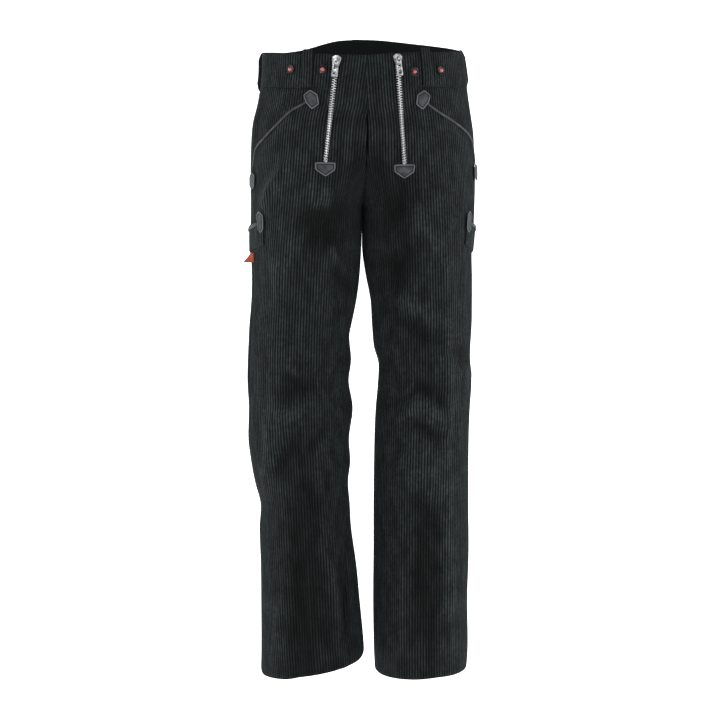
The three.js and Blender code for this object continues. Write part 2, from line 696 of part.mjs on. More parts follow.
function polygon(corners) {
  return new THREE.Shape(corners.map(([x, y]) => new THREE.Vector2(x, y)));
}

// The slider: a waisted plate over the chain, a neck down to the tape and the bridge that holds the pull.
function sliderShape() {
  const { crown: crownHalf, half, waist, up, down, shoulder, low, high } = SLIDER;
  const rightSide = [[waist, -down], [waist + 0.6, -down + 1], [half, up - shoulder - 4],
    [half, up - shoulder], [crownHalf, up]];
  const leftSide = rightSide.map(([x, y]) => [-x, y]).reverse();
  const top = extrude(polygon([...leftSide, ...rightSide]), high - low).translate(0, 0, low);
  const neckFoot = TAPE.high + NECK.clear;
  const neckTop = (low + high) / 2;
  const neck = new THREE.BoxGeometry(NECK.width, NECK.depth, neckTop - neckFoot);
  neck.translate(0, up - NECK.back, (neckTop + neckFoot) / 2);
  const { inner, wall: thick, clear, half: bridgeHalf } = BRIDGE;
  const outside = inner + thick;
  const crown = high + 2 * clear + thick;
  const sunk = high - 0.5;
  const arch = polygon([[-outside, sunk], [-outside, crown - 1], [-outside + 1, crown],
    [outside - 1, crown], [outside, crown - 1], [outside, sunk]]);
  const lintel = high + 2 * clear;
  arch.holes.push(polygon([[-inner, high], [inner, high], [inner, lintel], [-inner, lintel]]));
  const bridge = extrude(arch, 2 * bridgeHalf).translate(0, 0, -bridgeHalf);
  bridge.rotateY(PI / 2).rotateX(PI / 2);
  return joined([top, neck, bridge]);
}

// The pull tab about its own bar, hanging down -y, with the bridge's window, a slot and a round eye.
function pullShape() {
  const { half, foot, length, thick, bar, bevel } = PULL;
  const rightSide = [[foot - bevel, -length], [foot, -length + bevel], [half, bar - 1], [half - 1, bar]];
  const leftSide = rightSide.map(([x, y]) => [-x, y]).reverse();
  const outline = polygon([...leftSide, ...rightSide]);
  const hole = (topHalf, top, footHalf, low) =>
    outline.holes.push(polygon([[-topHalf, -top], [topHalf, -top], [footHalf, -low], [-footHalf, -low]]));
  hole(PULL_WINDOW.half, bar, PULL_WINDOW.half, PULL_WINDOW.foot);
  hole(PULL_SLOT.half, PULL_SLOT.top, PULL_SLOT.footHalf, PULL_SLOT.foot);
  const eye = new THREE.Path();
  eye.absarc(0, -length + PULL_EYE.up, PULL_EYE.radius, 0, 2 * PI);
  outline.holes.push(eye);
  return extrude(outline, thick).translate(0, 0, -thick / 2);
}

function buildZip(side) {
  const { footDrop } = ZIP[side];
  const edge = topEdge(side, 0.8);
  const bridgeDrop = edge + SLIDER_DROP;
  add(`zip_tape_${side}`, zipStrip(side, edge + 1, footDrop + 14, 10, TAPE), TAPE_CLOTH);
  const chainTop = bridgeDrop - SLIDER.up + 5;
  add(`zip_chain_${side}`, zipStrip(side, chainTop, footDrop - 0.6, 10, CHAIN), STEEL);
  const turn = turnAcross(side, zipAcross(side, bridgeDrop), bridgeDrop);
  const low = bridgeDrop + 20;
  const lean = (zipAcross(side, low) - zipAcross(side, bridgeDrop)) / (low - bridgeDrop);
  const group = new THREE.Group();
  standOn(group, side, turn, bridgeDrop, 0, SIDES[side].sign * lean);
  add(`zip_slider_${side}`, sliderShape(), STEEL, group);
  const pull = add(`zip_pull_${side}`, pullShape(), STEEL, group);
  pull.position.z = SLIDER.high + BRIDGE.clear;
  const footTurn = turnAcross(side, ZIP[side].foot, footDrop);
  const tab = plate(side, footTurn, footDrop, END_TAB, LEATHER_LIFT, LEATHER);
  add(`zip_end_tab_${side}`, tab, HIDE);
}

// A small plain ribbon under the right rule pocket, standing off the cloth.
function buildSideTag() {
  const steps = 4;
  const at = (r, c, face) => {
    const t = r / steps;
    const turn = (TAG.turn - TAG.width * c) * DEGREE;
    const out = TAG.low + TAG.stand * t ** 1.6 + (face ? TAG.thick : 0);
    return cloth("right", turn, TAG.drop + TAG.length * t, out);
  };
  add("side_tag", wall(steps + 1, 2, at), RED_CLOTH);
}

for (const side of Object.keys(SIDES)) {
  buildFront(side);
  buildBack(side);
  buildWaistband(side);
  buildFacing(side);
  buildPiping(side);
  buildPocketTabs(side);
  buildRulePocket(side);
  buildZip(side);
  for (const loop of LOOPS) buildLoop(`belt_loop_${loop.name}_${side}`, side, loop);
}
buildLoop("belt_loop_back", "left", BACK_LOOP);
for (const button of BUTTONS) buildButton(button);
buildSideTag();

export default trousers;
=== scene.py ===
from math import ceil, cos, pi, radians, sin

import bmesh
import bpy
import numpy as np
from mathutils import Matrix, Vector


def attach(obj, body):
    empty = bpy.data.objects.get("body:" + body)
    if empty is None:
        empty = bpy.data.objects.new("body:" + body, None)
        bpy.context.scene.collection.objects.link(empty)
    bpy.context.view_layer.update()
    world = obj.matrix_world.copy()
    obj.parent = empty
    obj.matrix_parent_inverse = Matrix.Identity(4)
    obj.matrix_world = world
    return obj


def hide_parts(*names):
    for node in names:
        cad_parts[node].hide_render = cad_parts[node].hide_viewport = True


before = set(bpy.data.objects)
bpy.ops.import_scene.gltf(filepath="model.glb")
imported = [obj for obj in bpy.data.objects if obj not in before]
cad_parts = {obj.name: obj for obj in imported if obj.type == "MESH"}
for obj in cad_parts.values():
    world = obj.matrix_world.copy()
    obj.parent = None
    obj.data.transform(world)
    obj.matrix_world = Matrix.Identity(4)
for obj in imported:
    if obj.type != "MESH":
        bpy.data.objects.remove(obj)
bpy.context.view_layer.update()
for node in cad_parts.values():
    node.select_set(False)
print("frame loaded:", len(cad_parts), "nodes")

# The worn form.
topHeight, bandDepth, hemDrop, riseStart, forkDrop = 28, 56, 1056, 90, 256
seamGap, clothThick, foldArc = 0.06, 2, 95
topBendsTo, hemBendsFrom, legsApartFrom = 230, 760, 880
legs = {
    "right": {
        "sign": -1,
        "drop": [
            -40, 0, 40, 66, 90, 115, 140, 200, 256, 300, 334, 375, 415, 456, 476, 517, 553, 599, 650,
            690, 725, 763, 805, 867, 930, 1013, 1060,
        ],
        "outer": [
            165, 166, 167, 171, 175.5, 182, 185, 187, 186.7, 187.2, 187, 185.6, 186.6, 190.1, 191.2,
            193.2, 194, 191.8, 193, 188.3, 182, 172.5, 174.6, 172.8, 172.4, 172.4, 173.5,
        ],
        "inner": [
            0, 0, 0, 0, 0, 0, 0, 0, 0.2, 0.8, 1.8, 4.4, 9.5, 17.8, 21.5, 18.5, 22.5, 15.8, 22, 20,
            23.7, 21, 18.5, 9.9, 4, -3.4, -3.4,
        ],
    },
    "left": {
        "sign": 1,
        "drop": [
            -40, 0, 40, 66, 90, 115, 140, 200, 256, 300, 334, 375, 415, 456, 496, 523, 560, 599, 650,
            763, 846, 930, 1013, 1060,
        ],
        "outer": [
            168, 169.7, 175.5, 178, 181.5, 185.5, 189, 191, 190.2, 188.6, 186, 186.8, 187, 186.7,
            184.5, 185, 186.5, 184.3, 182.7, 182.6, 183.5, 181.5, 182.6, 179.6,
        ],
        "inner": [
            0, 0, 0, 0, 0, 0, 0, 0, 0.2, 0.8, 1.4, 7.4, 15.2, 17.8, 21.4, 29, 28, 24.5, 22.2, 20.8,
            20.8, 20.2, 21.5, 23.6,
        ],
    },
}
depths = {
    "drop": [-40, 0, 60, 120, 180, 230, 260, 300, 400, 500, 600, 700, 800, 900, 1060],
    "front": [110, 113, 118, 122, 124, 122, 119, 115, 105, 98, 93, 90, 90, 93, 97],
    "back": [112, 114, 121, 132, 139, 140, 138, 130, 113, 105, 100, 100, 103, 107, 111],
}
topEdges = {
    "share": [-1, -0.85, -0.6, -0.35, 0, 0.3, 0.5, 0.8, 1],
    "right": [-30, -26.5, -9.5, -2, 1.5, 5, 8, 11.5, 13],
    "left": [-30, -28.5, -21, -13, -2, 2, 5, 8.5, 13],
}
hemEdges = {
    "share": [-1, -0.6, 0, 0.3, 0.42, 0.6, 0.85, 1],
    "right": [-36, -20, -3, -7, -14, -22, -31, -38],
    "left": [-1, 2, -7, -9, -9, -6, -3, -3],
}
# the line that the wales run along, as its distance from the centre plane
grainLines = {
    "drop": [-40, 256, 450, 600, 760, 1060],
    "right": [60, 93, 103, 104, 97, 85],
    "left": [77, 95, 102, 104, 102, 101.5],
}
# turn, drop, lean towards the outer side, half length, half width, how far out
folds = {
    "right": [
        (45, 238, 28, 45, 17, 5), (96, 243, -52, 36, 14, 5), (102, 288, -40, 38, 22, -10),
        (118, 340, -52, 30, 13, 5), (130, 378, -40, 24, 14, -6), (62, 345, 20, 60, 22, 3),
        (84, 560, 55, 48, 17, -5), (70, 600, 60, 44, 15, 4), (72, 668, 40, 62, 15, -6),
        (50, 690, 30, 60, 18, 4), (98, 742, -10, 45, 13, -5), (76, 920, 3, 125, 16, -6),
        (118, 900, -6, 90, 14, 4), (130, 930, -4, 85, 11, -4), (-84, 305, 62, 60, 16, -6),
        (-110, 350, 50, 45, 15, 4), (-66, 590, -58, 55, 16, -6), (-92, 640, -50, 52, 15, 5),
        (-100, 705, 48, 50, 15, -5), (-78, 900, 4, 120, 17, -5),
    ],
    "left": [
        (112, 250, -38, 42, 15, -6), (90, 290, 46, 42, 16, 4), (118, 358, -30, 44, 20, -9),
        (98, 428, 62, 40, 13, 5), (100, 462, 62, 40, 13, -5), (62, 690, 1, 260, 10, 3),
        (40, 510, 84, 36, 12, -5), (36, 536, 84, 36, 12, 4), (92, 592, 55, 50, 14, 5),
        (88, 566, 58, 40, 13, -6), (84, 632, 65, 36, 13, -5), (88, 700, 10, 55, 24, 4),
        (86, 775, 20, 36, 18, -5), (84, 900, 2, 120, 18, -5), (-96, 312, 60, 56, 16, -6),
        (-70, 360, 48, 46, 15, 4), (-88, 600, -54, 56, 16, -6), (-70, 650, -48, 50, 15, 5),
        (-104, 700, 50, 46, 15, -5), (-84, 890, -3, 125, 17, -5),
    ],
}
# the smaller creases that lie on the folds
creases = {
    "right": [
        (14, 500, 0, 120, 5, -3), (15, 120, 0, 45, 6, -3), (48, 222, 25, 45, 6, 5),
        (100, 240, 50, 25, 8, 3), (115, 270, 90, 35, 12, -4), (115, 325, -45, 20, 5, 3),
        (125, 335, -45, 15, 7, -4), (130, 430, -15, 20, 6, -3), (80, 540, -65, 30, 7, -3),
        (80, 525, -65, 25, 6, 2), (105, 645, 40, 35, 9, -4.5), (90, 635, 35, 30, 8, 3),
        (120, 720, -20, 20, 6, -3), (125, 830, 0, 25, 6, 3), (135, 900, 10, 80, 5, -3.5),
        (50, 640, -5, 30, 12, 3), (60, 670, -50, 35, 7, -2.5), (80, 910, 0, 55, 9, -2.5),
        (45, 960, 10, 40, 10, 2), (55, 370, -20, 35, 9, 2), (100, 1005, -15, 20, 8, 2.5),
        (80, 360, -5, 30, 8, -2), (-100, 262, 50, 26, 8, 3), (-96, 276, 56, 26, 8, -3),
        (-120, 300, -40, 22, 7, -3), (-60, 330, 30, 34, 9, 2.5), (-112, 560, 62, 26, 7, -3),
        (-80, 572, -60, 30, 7, 3), (-82, 606, -62, 28, 7, -3), (-106, 662, 40, 30, 8, 3),
        (-126, 720, -14, 24, 6, -3), (-60, 640, -6, 34, 10, 2.5), (-70, 760, 24, 28, 8, -2.5),
        (-98, 850, 4, 60, 8, -3), (-58, 900, -4, 54, 9, 2.5), (-120, 960, 10, 40, 7, 2.5),
    ],
    "left": [
        (125, 350, 85, 25, 10, -4), (105, 280, 0, 15, 6, -3), (115, 245, -35, 15, 6, -3),
        (135, 465, -5, 15, 6, -3), (100, 435, 0, 15, 6, -3), (105, 500, -10, 15, 6, -3),
        (105, 415, 70, 30, 6, 3), (85, 680, 0, 220, 3.5, 2.2), (55, 510, 90, 40, 5, 2.5),
        (55, 495, 90, 35, 5, -2.5), (111, 595, -62, 45, 6, 4), (115, 570, -60, 30, 7, -4),
        (100, 620, -90, 15, 5, -3), (120, 655, 70, 15, 5, -3), (115, 700, 0, 25, 12, 3),
        (100, 745, 0, 15, 6, -3), (100, 865, 0, 55, 8, -4), (65, 360, -10, 40, 10, 2),
        (60, 680, -5, 55, 9, -2), (120, 915, 0, 55, 9, 2), (55, 925, -5, 65, 9, 2),
        (-104, 270, 46, 26, 8, 3), (-98, 286, 54, 24, 8, -3), (-122, 330, -38, 22, 7, -3),
        (-58, 320, 26, 32, 9, 2.5), (-108, 575, 60, 28, 7, -3), (-84, 560, -58, 30, 7, 3),
        (-76, 615, -62, 26, 7, -3), (-110, 680, 36, 30, 8, 3), (-124, 740, -10, 22, 6, -3),
        (-62, 655, -4, 34, 10, 2.5), (-72, 770, 20, 28, 8, -2.5), (-96, 870, 2, 60, 8, -3),
        (-60, 910, -4, 54, 9, 2.5), (-118, 955, 8, 40, 7, 2.5),
    ],
}
# patches painted darker or lighter, in the same columns: painted shade in the hollows by the fork, and darker
# and lighter patches down the legs
paintedLightPatches = {
    "right": [
        (95, 950, 0, 170, 60, -1.1), (112, 300, 40, 50, 30, -0.9), (52, 600, 0, 130, 18, 0.5),
        (78, 800, 0, 90, 30, -0.5), (40, 150, 0, 60, 30, 0.3), (-95, 900, 0, 170, 55, -0.8),
        (116, 195, 0, 50, 26, -1.0),
    ],
    "left": [
        (58, 700, 0, 300, 22, 0.5), (97, 900, 0, 120, 22, -0.7), (120, 270, 0, 55, 25, -0.9),
        (92, 470, 0, 70, 24, -0.4), (40, 150, 0, 60, 30, 0.3), (-90, 880, 0, 170, 50, -0.7),
        (116, 200, 0, 50, 26, -1.0),
    ],
}


def through(table, key, column, at):  # a smooth curve through a table's rows
    x, y = np.array(table[key], float), np.array(table[column], float)
    slope = np.empty_like(y)
    slope[1:-1] = (y[2:] - y[:-2]) / (x[2:] - x[:-2])
    slope[0] = (y[1] - y[0]) / (x[1] - x[0])
    slope[-1] = (y[-1] - y[-2]) / (x[-1] - x[-2])
    at = np.clip(at, x[0], x[-1])
    k = np.clip(np.searchsorted(x, at, "right") - 1, 0, len(x) - 2)
    width = x[k + 1] - x[k]
    t = (at - x[k]) / width
    start = (2 * t**3 - 3 * t**2 + 1) * y[k]
    end = (3 * t**2 - 2 * t**3) * y[k + 1]
    return start + end + ((t**3 - 2 * t**2 + t) * slope[k] + (t**3 - t**2) * slope[k + 1]) * width


def fade(at, low=0.0, high=1.0):
    t = np.clip((np.asarray(at, float) - low) / (high - low), 0, 1)
    return t * t * (3 - 2 * t)


def ring(side, drop):  # a leg's level ring: last turn, half width, middle, depth before and behind
    drop = np.asarray(drop, float)
    outer = through(legs[side], "drop", "outer", drop)
    inner = through(legs[side], "drop", "inner", drop)
    t = np.clip((drop - riseStart) / (forkDrop - riseStart), 0, 1)
    inwards = 0.7 * fade(t) + 0.3 * t * t
    below = drop >= forkDrop
    half = np.where(below, (outer - inner) / 2, outer / (1 + inwards))
    end = np.where(below, pi, np.arccos(np.clip(-inwards, -1, 1)))
    front, back = (through(depths, "drop", column, drop) for column in ("front", "back"))
    return end, half, outer - half, front, back


def foldsAt(rows, turn, drop):
    out = np.zeros(np.broadcast(turn, drop).shape)
    for at, level, lean, long, wide, height in rows:
        across, down = (turn - radians(at)) * foldArc, drop - level
        c, s = cos(radians(lean)), sin(radians(lean))
        along, beside = (down * c - across * s) / long, (across * c + down * s) / wide
        out = out + height * np.exp(-(along**2) - beside**2)
    return out


def skin(side, turn, drop, folded=True):
    turn, drop = np.broadcast_arrays(np.asarray(turn, float), np.asarray(drop, float))
    _, half, middle, front, back = ring(side, drop)
    fold = foldsAt(folds[side] + creases[side], turn, drop) if folded else 0
    x = legs[side]["sign"] * (middle + (half + fold) * np.cos(turn))
    y = -(np.where(turn > 0, front, back) + fold) * np.sin(turn)
    return np.stack([x, y, topHeight - drop], -1)


def cloth(side, turn, drop, out=0.0):  # a place on the cloth, moved out of it
    turn, drop = np.broadcast_arrays(np.asarray(turn, float), np.asarray(drop, float))
    across = skin(side, turn + 0.004, drop) - skin(side, turn - 0.004, drop)
    down = skin(side, turn, drop + 0.4) - skin(side, turn, drop - 0.4)
    normal = np.cross(across, down) * legs[side]["sign"]
    normal /= np.linalg.norm(normal, axis=-1, keepdims=True)
    point = skin(side, turn, drop) + normal * np.asarray(out, float)[..., None]
    own = np.maximum(point[..., 0] * legs[side]["sign"], seamGap / 2) * legs[side]["sign"]
    point[..., 0] = np.where(drop < legsApartFrom, own, point[..., 0])
    return point


def levelAt(side, share, row):  # a level row bent to the top edge and to the hem
    top = through(topEdges, "share", side, share) * (1 - fade(row, bandDepth, topBendsTo))
    return row + top + through(hemEdges, "share", side, share) * fade(row, hemBendsFrom, hemDrop)


def seamTurn(side, share, drop):
    end, half = ring(side, drop)[:2]
    gap = seamGap / 2 / half
    return share * (end - 2 * gap) + gap


def turnAcross(side, across, drop):
    _, half, middle, _, _ = ring(side, drop)
    return np.arccos(np.clip((across - middle) / half, -1, 1))


def metric(side, turn, drop):  # millimetres of cloth to each radian of turn
    return np.linalg.norm(skin(side, turn + 0.01, drop) - skin(side, turn - 0.01, drop), axis=-1) / 0.02


# Where the zips and pockets cut the front.
zips = {
    "right": {"top": 46, "foot": 68, "footDrop": 186},
    "left": {"top": 49, "foot": 61, "footDrop": 189},
}
zipSlot, zipRunOn = 10.4, 10
mouths = {
    "drop": [56, 70, 87, 105, 128, 148, 168, 200, 216],
    "right": [60, 59, 57, 47, 39, 30, 18, 13, 12],
    "left": [60, 59, 57.5, 50, 35.5, 22, 17, 13, 9],
}
mouthFoot = {"right": 218, "left": 204}
sideTabTurn, sideTabDrop = 17, {"right": 216, "left": 202}


def zipAcross(side, drop):
    z = zips[side]
    return z["top"] + (z["foot"] - z["top"]) * np.minimum(np.asarray(drop, float) / z["footDrop"], 1)


def frontTurns(side, row):  # the front's cut lines: pocket mouth or side seam, zip slot, centre
    level = levelAt(side, 0.8, row)
    end = zips[side]["footDrop"] + zipRunOn
    mouth = np.where(level < mouthFoot[side], np.radians(through(mouths, "drop", side, level)), 0)
    start = np.maximum(seamTurn(side, 0, level), mouth)
    centre = seamTurn(side, 1, level)
    share = turnAcross(side, zips[side]["foot"], end) / ring(side, end)[0]
    zipTurn = np.where(level < end, turnAcross(side, zipAcross(side, level), level), share * centre)
    slot = zipSlot / 2 / ring(side, level)[1]
    return start, zipTurn - slot, zipTurn + slot, centre


# Cloth meshes.
corduroy = {
    "pitch": 4.73,  # one wale
    "depth": 0.95,
    "points": 6,  # across each wale
    "step": 6.5,  # between rows
    "edge": 2.2,  # how wide the rolled edge is
    "foldShadeHeight": 4,  # a fold this high gets the full painted shade in its hollow and painted highlight on its ridge
}


def waleHeight(place, depth=corduroy["depth"]):
    number = np.floor(place)
    full = 0.92 + 0.08 * np.sin(number * 12.99) + 0.05 * np.sin(number * 3.7)
    return depth * (np.abs(np.sin(pi * place)) ** 0.75 * full - 0.52)


class ClothMesh:  # gathers grids of points into one closed piece of cloth
    def __init__(self):
        self.points, self.faces, self.count = [], [], 0
        self.place, self.along, self.outside, self.paintedLight = [], [], [], []

    def addPoints(self, points, place, along, outside, paintedLight):
        start = self.count
        self.points.append(points.reshape(-1, 3))
        self.place.append(np.broadcast_to(place, points.shape[:2]).reshape(-1))
        self.along.append(np.broadcast_to(along, points.shape[:2]).reshape(-1))
        self.outside.append(np.full(points.shape[0] * points.shape[1], float(outside)))
        self.paintedLight.append(np.broadcast_to(paintedLight, points.shape[:2]).reshape(-1))
        self.count += points.shape[0] * points.shape[1]
        return start + np.arange(points.shape[0] * points.shape[1]).reshape(points.shape[:2])

    def addGrid(self, outer, inner, columns, place, along, left=True, right=True, top=True, bottom=True,
                paintedLight=0):
        o = self.addPoints(outer, place, along, 1, paintedLight)
        i = self.addPoints(inner, place[:, columns], along[:, columns], 0, 0)
        self.faces += np.stack([o[:-1, :-1], o[:-1, 1:], o[1:, 1:], o[1:, :-1]], -1).reshape(-1, 4).tolist()
        self.faces += np.stack([i[:-1, :-1], i[1:, :-1], i[1:, 1:], i[:-1, 1:]], -1).reshape(-1, 4).tolist()
        rows = len(outer)
        left, right = np.broadcast_to(left, rows - 1), np.broadcast_to(right, rows - 1)
        for r in range(rows - 1):
            if left[r]:
                self.faces.append([o[r, 0], o[r + 1, 0], i[r + 1, 0], i[r, 0]])
            if right[r]:
                self.faces.append([o[r, -1], i[r, -1], i[r + 1, -1], o[r + 1, -1]])
        for k in range(len(columns) - 1):
            span = list(range(columns[k], columns[k + 1] + 1))
            if top:
                self.faces.append([i[0, k], i[0, k + 1]] + [o[0, c] for c in reversed(span)])
            if bottom:
                self.faces.append([i[-1, k + 1], i[-1, k]] + [o[-1, c] for c in span])

    def make(self, name, finish):
        faces = [[int(v) for v in f] for f in self.faces]
        piece = newPiece(name, np.concatenate(self.points) / 1000, faces)
        mesh = piece.data
        kept = {"wale": self.place, "along": self.along, "outside": self.outside, "paintedLight": self.paintedLight}
        for label, parts in kept.items():
            mesh.attributes.new(label, "FLOAT", "POINT").data.foreach_set("value", np.concatenate(parts))
        work = bmesh.new()
        work.from_mesh(mesh)
        bmesh.ops.remove_doubles(work, verts=work.verts, dist=1e-6)
        bmesh.ops.dissolve_degenerate(work, dist=1e-6, edges=work.edges)
        if work.calc_volume(signed=True) < 0:
            bmesh.ops.reverse_faces(work, faces=work.faces)
        loose = [v for v in work.verts if not v.link_faces]
        bmesh.ops.delete(work, geom=loose, context="VERTS")
        work.to_mesh(mesh)
        work.free()
        smooth(piece, 62)
        mesh.materials.append(finish)
        return piece


def newPiece(name, points, faces):  # points in metres
    mesh = bpy.data.meshes.new(name)
    mesh.from_pydata(points.tolist(), [], faces)
    piece = bpy.data.objects.new(name, mesh)
    bpy.context.scene.collection.objects.link(piece)
    return piece


def onlySelect(piece):
    bpy.ops.object.select_all(action="DESELECT")
    piece.select_set(True)
    bpy.context.view_layer.objects.active = piece


def smooth(piece, angle):
    onlySelect(piece)
    bpy.ops.object.shade_smooth_by_angle(angle=radians(angle))


def waleColumns(side, rows, start, end, grain):  # turns of the wale columns between two cut lines
    ends = ring(side, rows)[0]
    turns = np.linspace(-1, 1, 361)[None, :] * np.minimum(ends * 1.12, pi)[:, None]
    points = skin(side, turns, levelAt(side, turns / ends[:, None], rows[:, None]), folded=False)
    arcs = np.cumsum(np.linalg.norm(np.diff(points, axis=1, prepend=points[:, :1]), axis=2), axis=1)
    arcs -= arcs[:, 180:181]
    arcAt = lambda t: np.array([np.interp(t[r], turns[r], arcs[r]) for r in range(len(rows))])
    low, high = np.minimum(start, end), np.maximum(start, end)
    low, high, zero = arcAt(low)[:, None], arcAt(high)[:, None], arcAt(grain)[:, None]
    pitch, many = corduroy["pitch"], corduroy["points"]
    first, last = int(np.floor(((low - zero) / pitch).min())), int(np.ceil(((high - zero) / pitch).max()))
    arc = np.clip(np.arange(first * many, last * many + 1)[None, :] / many * pitch + zero, low, high)
    turn = np.array([np.interp(arc[r], arcs[r], turns[r]) for r in range(len(rows))])
    return turn, (arc - zero) / pitch, arc - low, high - arc, (high - low).ravel()


def rolled(distance, width=None):  # how far a folded edge rolls in
    return 1.15 * np.exp(-((distance / (width or corduroy["edge"])) ** 2))


def panelGrid(mesh, side, rows, start, end, grain, seam=0.0, walls=(True, True, True, True), lift=0.0,
              thick=clothThick, sinkAt=None, topRoll=True, highRoll=1.0):
    turn, place, fromLow, fromHigh, width = waleColumns(side, rows, start, end, grain)
    ends = ring(side, rows)[0][:, None]
    level = levelAt(side, turn / ends, rows[:, None])
    level = level + seam * (1 - fade(rows[:, None] - rows[0], 0, 6))
    columns = list(range(0, turn.shape[1], corduroy["points"]))
    sink, plain = sinkAt(turn, place) if sinkAt else (np.zeros_like(turn), 0)
    rim = rolled(rows[:, None] - rows[0]) * topRoll
    for distance, wall, roll in ((fromLow, walls[0], 1.0), (fromHigh, walls[1], highRoll)):
        cut = roll * np.append(np.broadcast_to(wall, len(rows) - 1), np.ravel(wall)[-1])[:, None]
        rim = np.maximum(rim, rolled(distance) * cut)
    rim = np.maximum(rim, rolled(rows[-1] - rows[:, None]))
    height = waleHeight(place) * (1 - plain) - rim - sink + lift
    outer = cloth(side, turn, level, height)
    inner = cloth(side, turn[:, columns], level[:, columns], (lift - thick - sink + 0.3 * rim)[:, columns])
    # painted shade in the hollows of the folds and creases and painted highlight on their ridges, plus the
    # painted patches
    paintedLight = foldsAt(folds[side] + creases[side], turn, level) / corduroy["foldShadeHeight"]
    paintedLight = np.tanh(paintedLight + foldsAt(paintedLightPatches[side], turn, level))
    mesh.addGrid(outer, inner, columns, place, level / corduroy["pitch"], *walls, paintedLight=paintedLight)
    flat = cloth(side, turn[:, columns], level[:, columns])
    a, b = flat[1:, 1:] - flat[:-1, :-1], flat[1:, :-1] - flat[:-1, 1:]
    return width, np.linalg.norm(np.cross(a, b), axis=-1).sum() / 2


def spread(low, high, step):
    return np.linspace(low, high, int(ceil((high - low) / step)) + 1)


def closeRows(low, high):  # rows that are closer together at both edges
    step = corduroy["step"]
    return np.concatenate([[low, low + 0.6, low + 1.6, low + 3.2], spread(low + 6, high - 6, step),
                           [high - 3.2, high - 1.6, high - 0.6, high]])


def declareSheet(piece, width, length, area, rests):
    wide, long = round(float(width) / 1000, 3), round(float(length) / 1000, 3)
    area = min(area / 1e6, 0.9999 * wide * long)


def ridesOn(piece, slot, *nodes, body="trousers"):
    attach(piece, body)
    if nodes:
        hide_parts(*nodes)
    return piece


# Materials.
class Wire:  # a shader socket with arithmetic
    def __init__(self, finish, socket):
        self.finish, self.socket = finish, socket

    def maths(self, operation, *values):
        return self.finish.node("ShaderNodeMath", {"operation": operation}, dict(enumerate(values)))

    def __add__(self, other):
        return self.maths("ADD", self, other)

    def __sub__(self, other):
        return self.maths("SUBTRACT", self, other)

    def __mul__(self, other):
        return self.maths("MULTIPLY", self, other)

    def __rsub__(self, other):
        return self.maths("SUBTRACT", other, self)

    def __pow__(self, other):
        return self.maths("POWER", self, other)

    __radd__, __rmul__ = __add__, __mul__

    def clamp(self, low, high, toLow=0.0, toHigh=1.0):
        return self.finish.node("ShaderNodeMapRange", {"interpolation_type": "SMOOTHSTEP"},
                                {0: self, 1: low, 2: high, 3: toLow, 4: toHigh})


class Finish:
    def __init__(self, name):
        self.material = bpy.data.materials.new(name)
        self.material.use_nodes = True
        self.tree = self.material.node_tree
        self.shader = self.tree.nodes["Principled BSDF"]

    def node(self, kind, settings=None, sockets=None, out=0):
        made = self.tree.nodes.new(kind)
        for key, value in (settings or {}).items():
            setattr(made, key, value)
        for key, value in (sockets or {}).items():
            if isinstance(value, Wire):
                self.tree.links.new(value.socket, made.inputs[key])
            else:
                made.inputs[key].default_value = value
        return Wire(self, made.outputs[out])

    def attribute(self, name):
        return self.node("ShaderNodeAttribute", {"attribute_name": name}, out="Fac")

    def place(self, scale):
        where = self.node("ShaderNodeTexCoord", out="Object")
        return self.node("ShaderNodeMapping", {}, {"Vector": where, "Scale": scale})

    def noise(self, scale, detail=2.0, vector=None, rough=0.5):
        vector = vector or self.node("ShaderNodeTexCoord", out="Object")
        sockets = {"Vector": vector, "Scale": scale, "Detail": detail, "Roughness": rough}
        return self.node("ShaderNodeTexNoise", {}, sockets)

    def blend(self, factor, first, second):
        colour = lambda v: v if isinstance(v, Wire) else (*v, 1)
        sockets = {0: factor, 6: colour(first), 7: colour(second)}
        return self.node("ShaderNodeMix", {"data_type": "RGBA"}, sockets, out=2)

    def onCloth(self, across, down, third=0.0):  # a vector laid on the wales
        return self.node("ShaderNodeCombineXYZ", {}, {0: across, 1: down, 2: third})

    def bump(self, height, strength, distance):
        sockets = {"Height": height, "Strength": strength, "Distance": distance}
        return self.node("ShaderNodeBump", {}, sockets)

    def set(self, **values):
        names = {"colour": "Base Color", "rough": "Roughness", "metal": "Metallic", "normal": "Normal",
                 "sheen": "Sheen Weight", "sheenRough": "Sheen Roughness", "sheenTint": "Sheen Tint",
                 "gloss": "Specular IOR Level", "coat": "Coat Weight", "glow": "Emission Color",
                 "glowStrength": "Emission Strength"}
        for key, value in values.items():
            socket = self.shader.inputs[names[key]]
            if isinstance(value, Wire):
                self.tree.links.new(value.socket, socket)
            else:
                socket.default_value = value
        return self.material


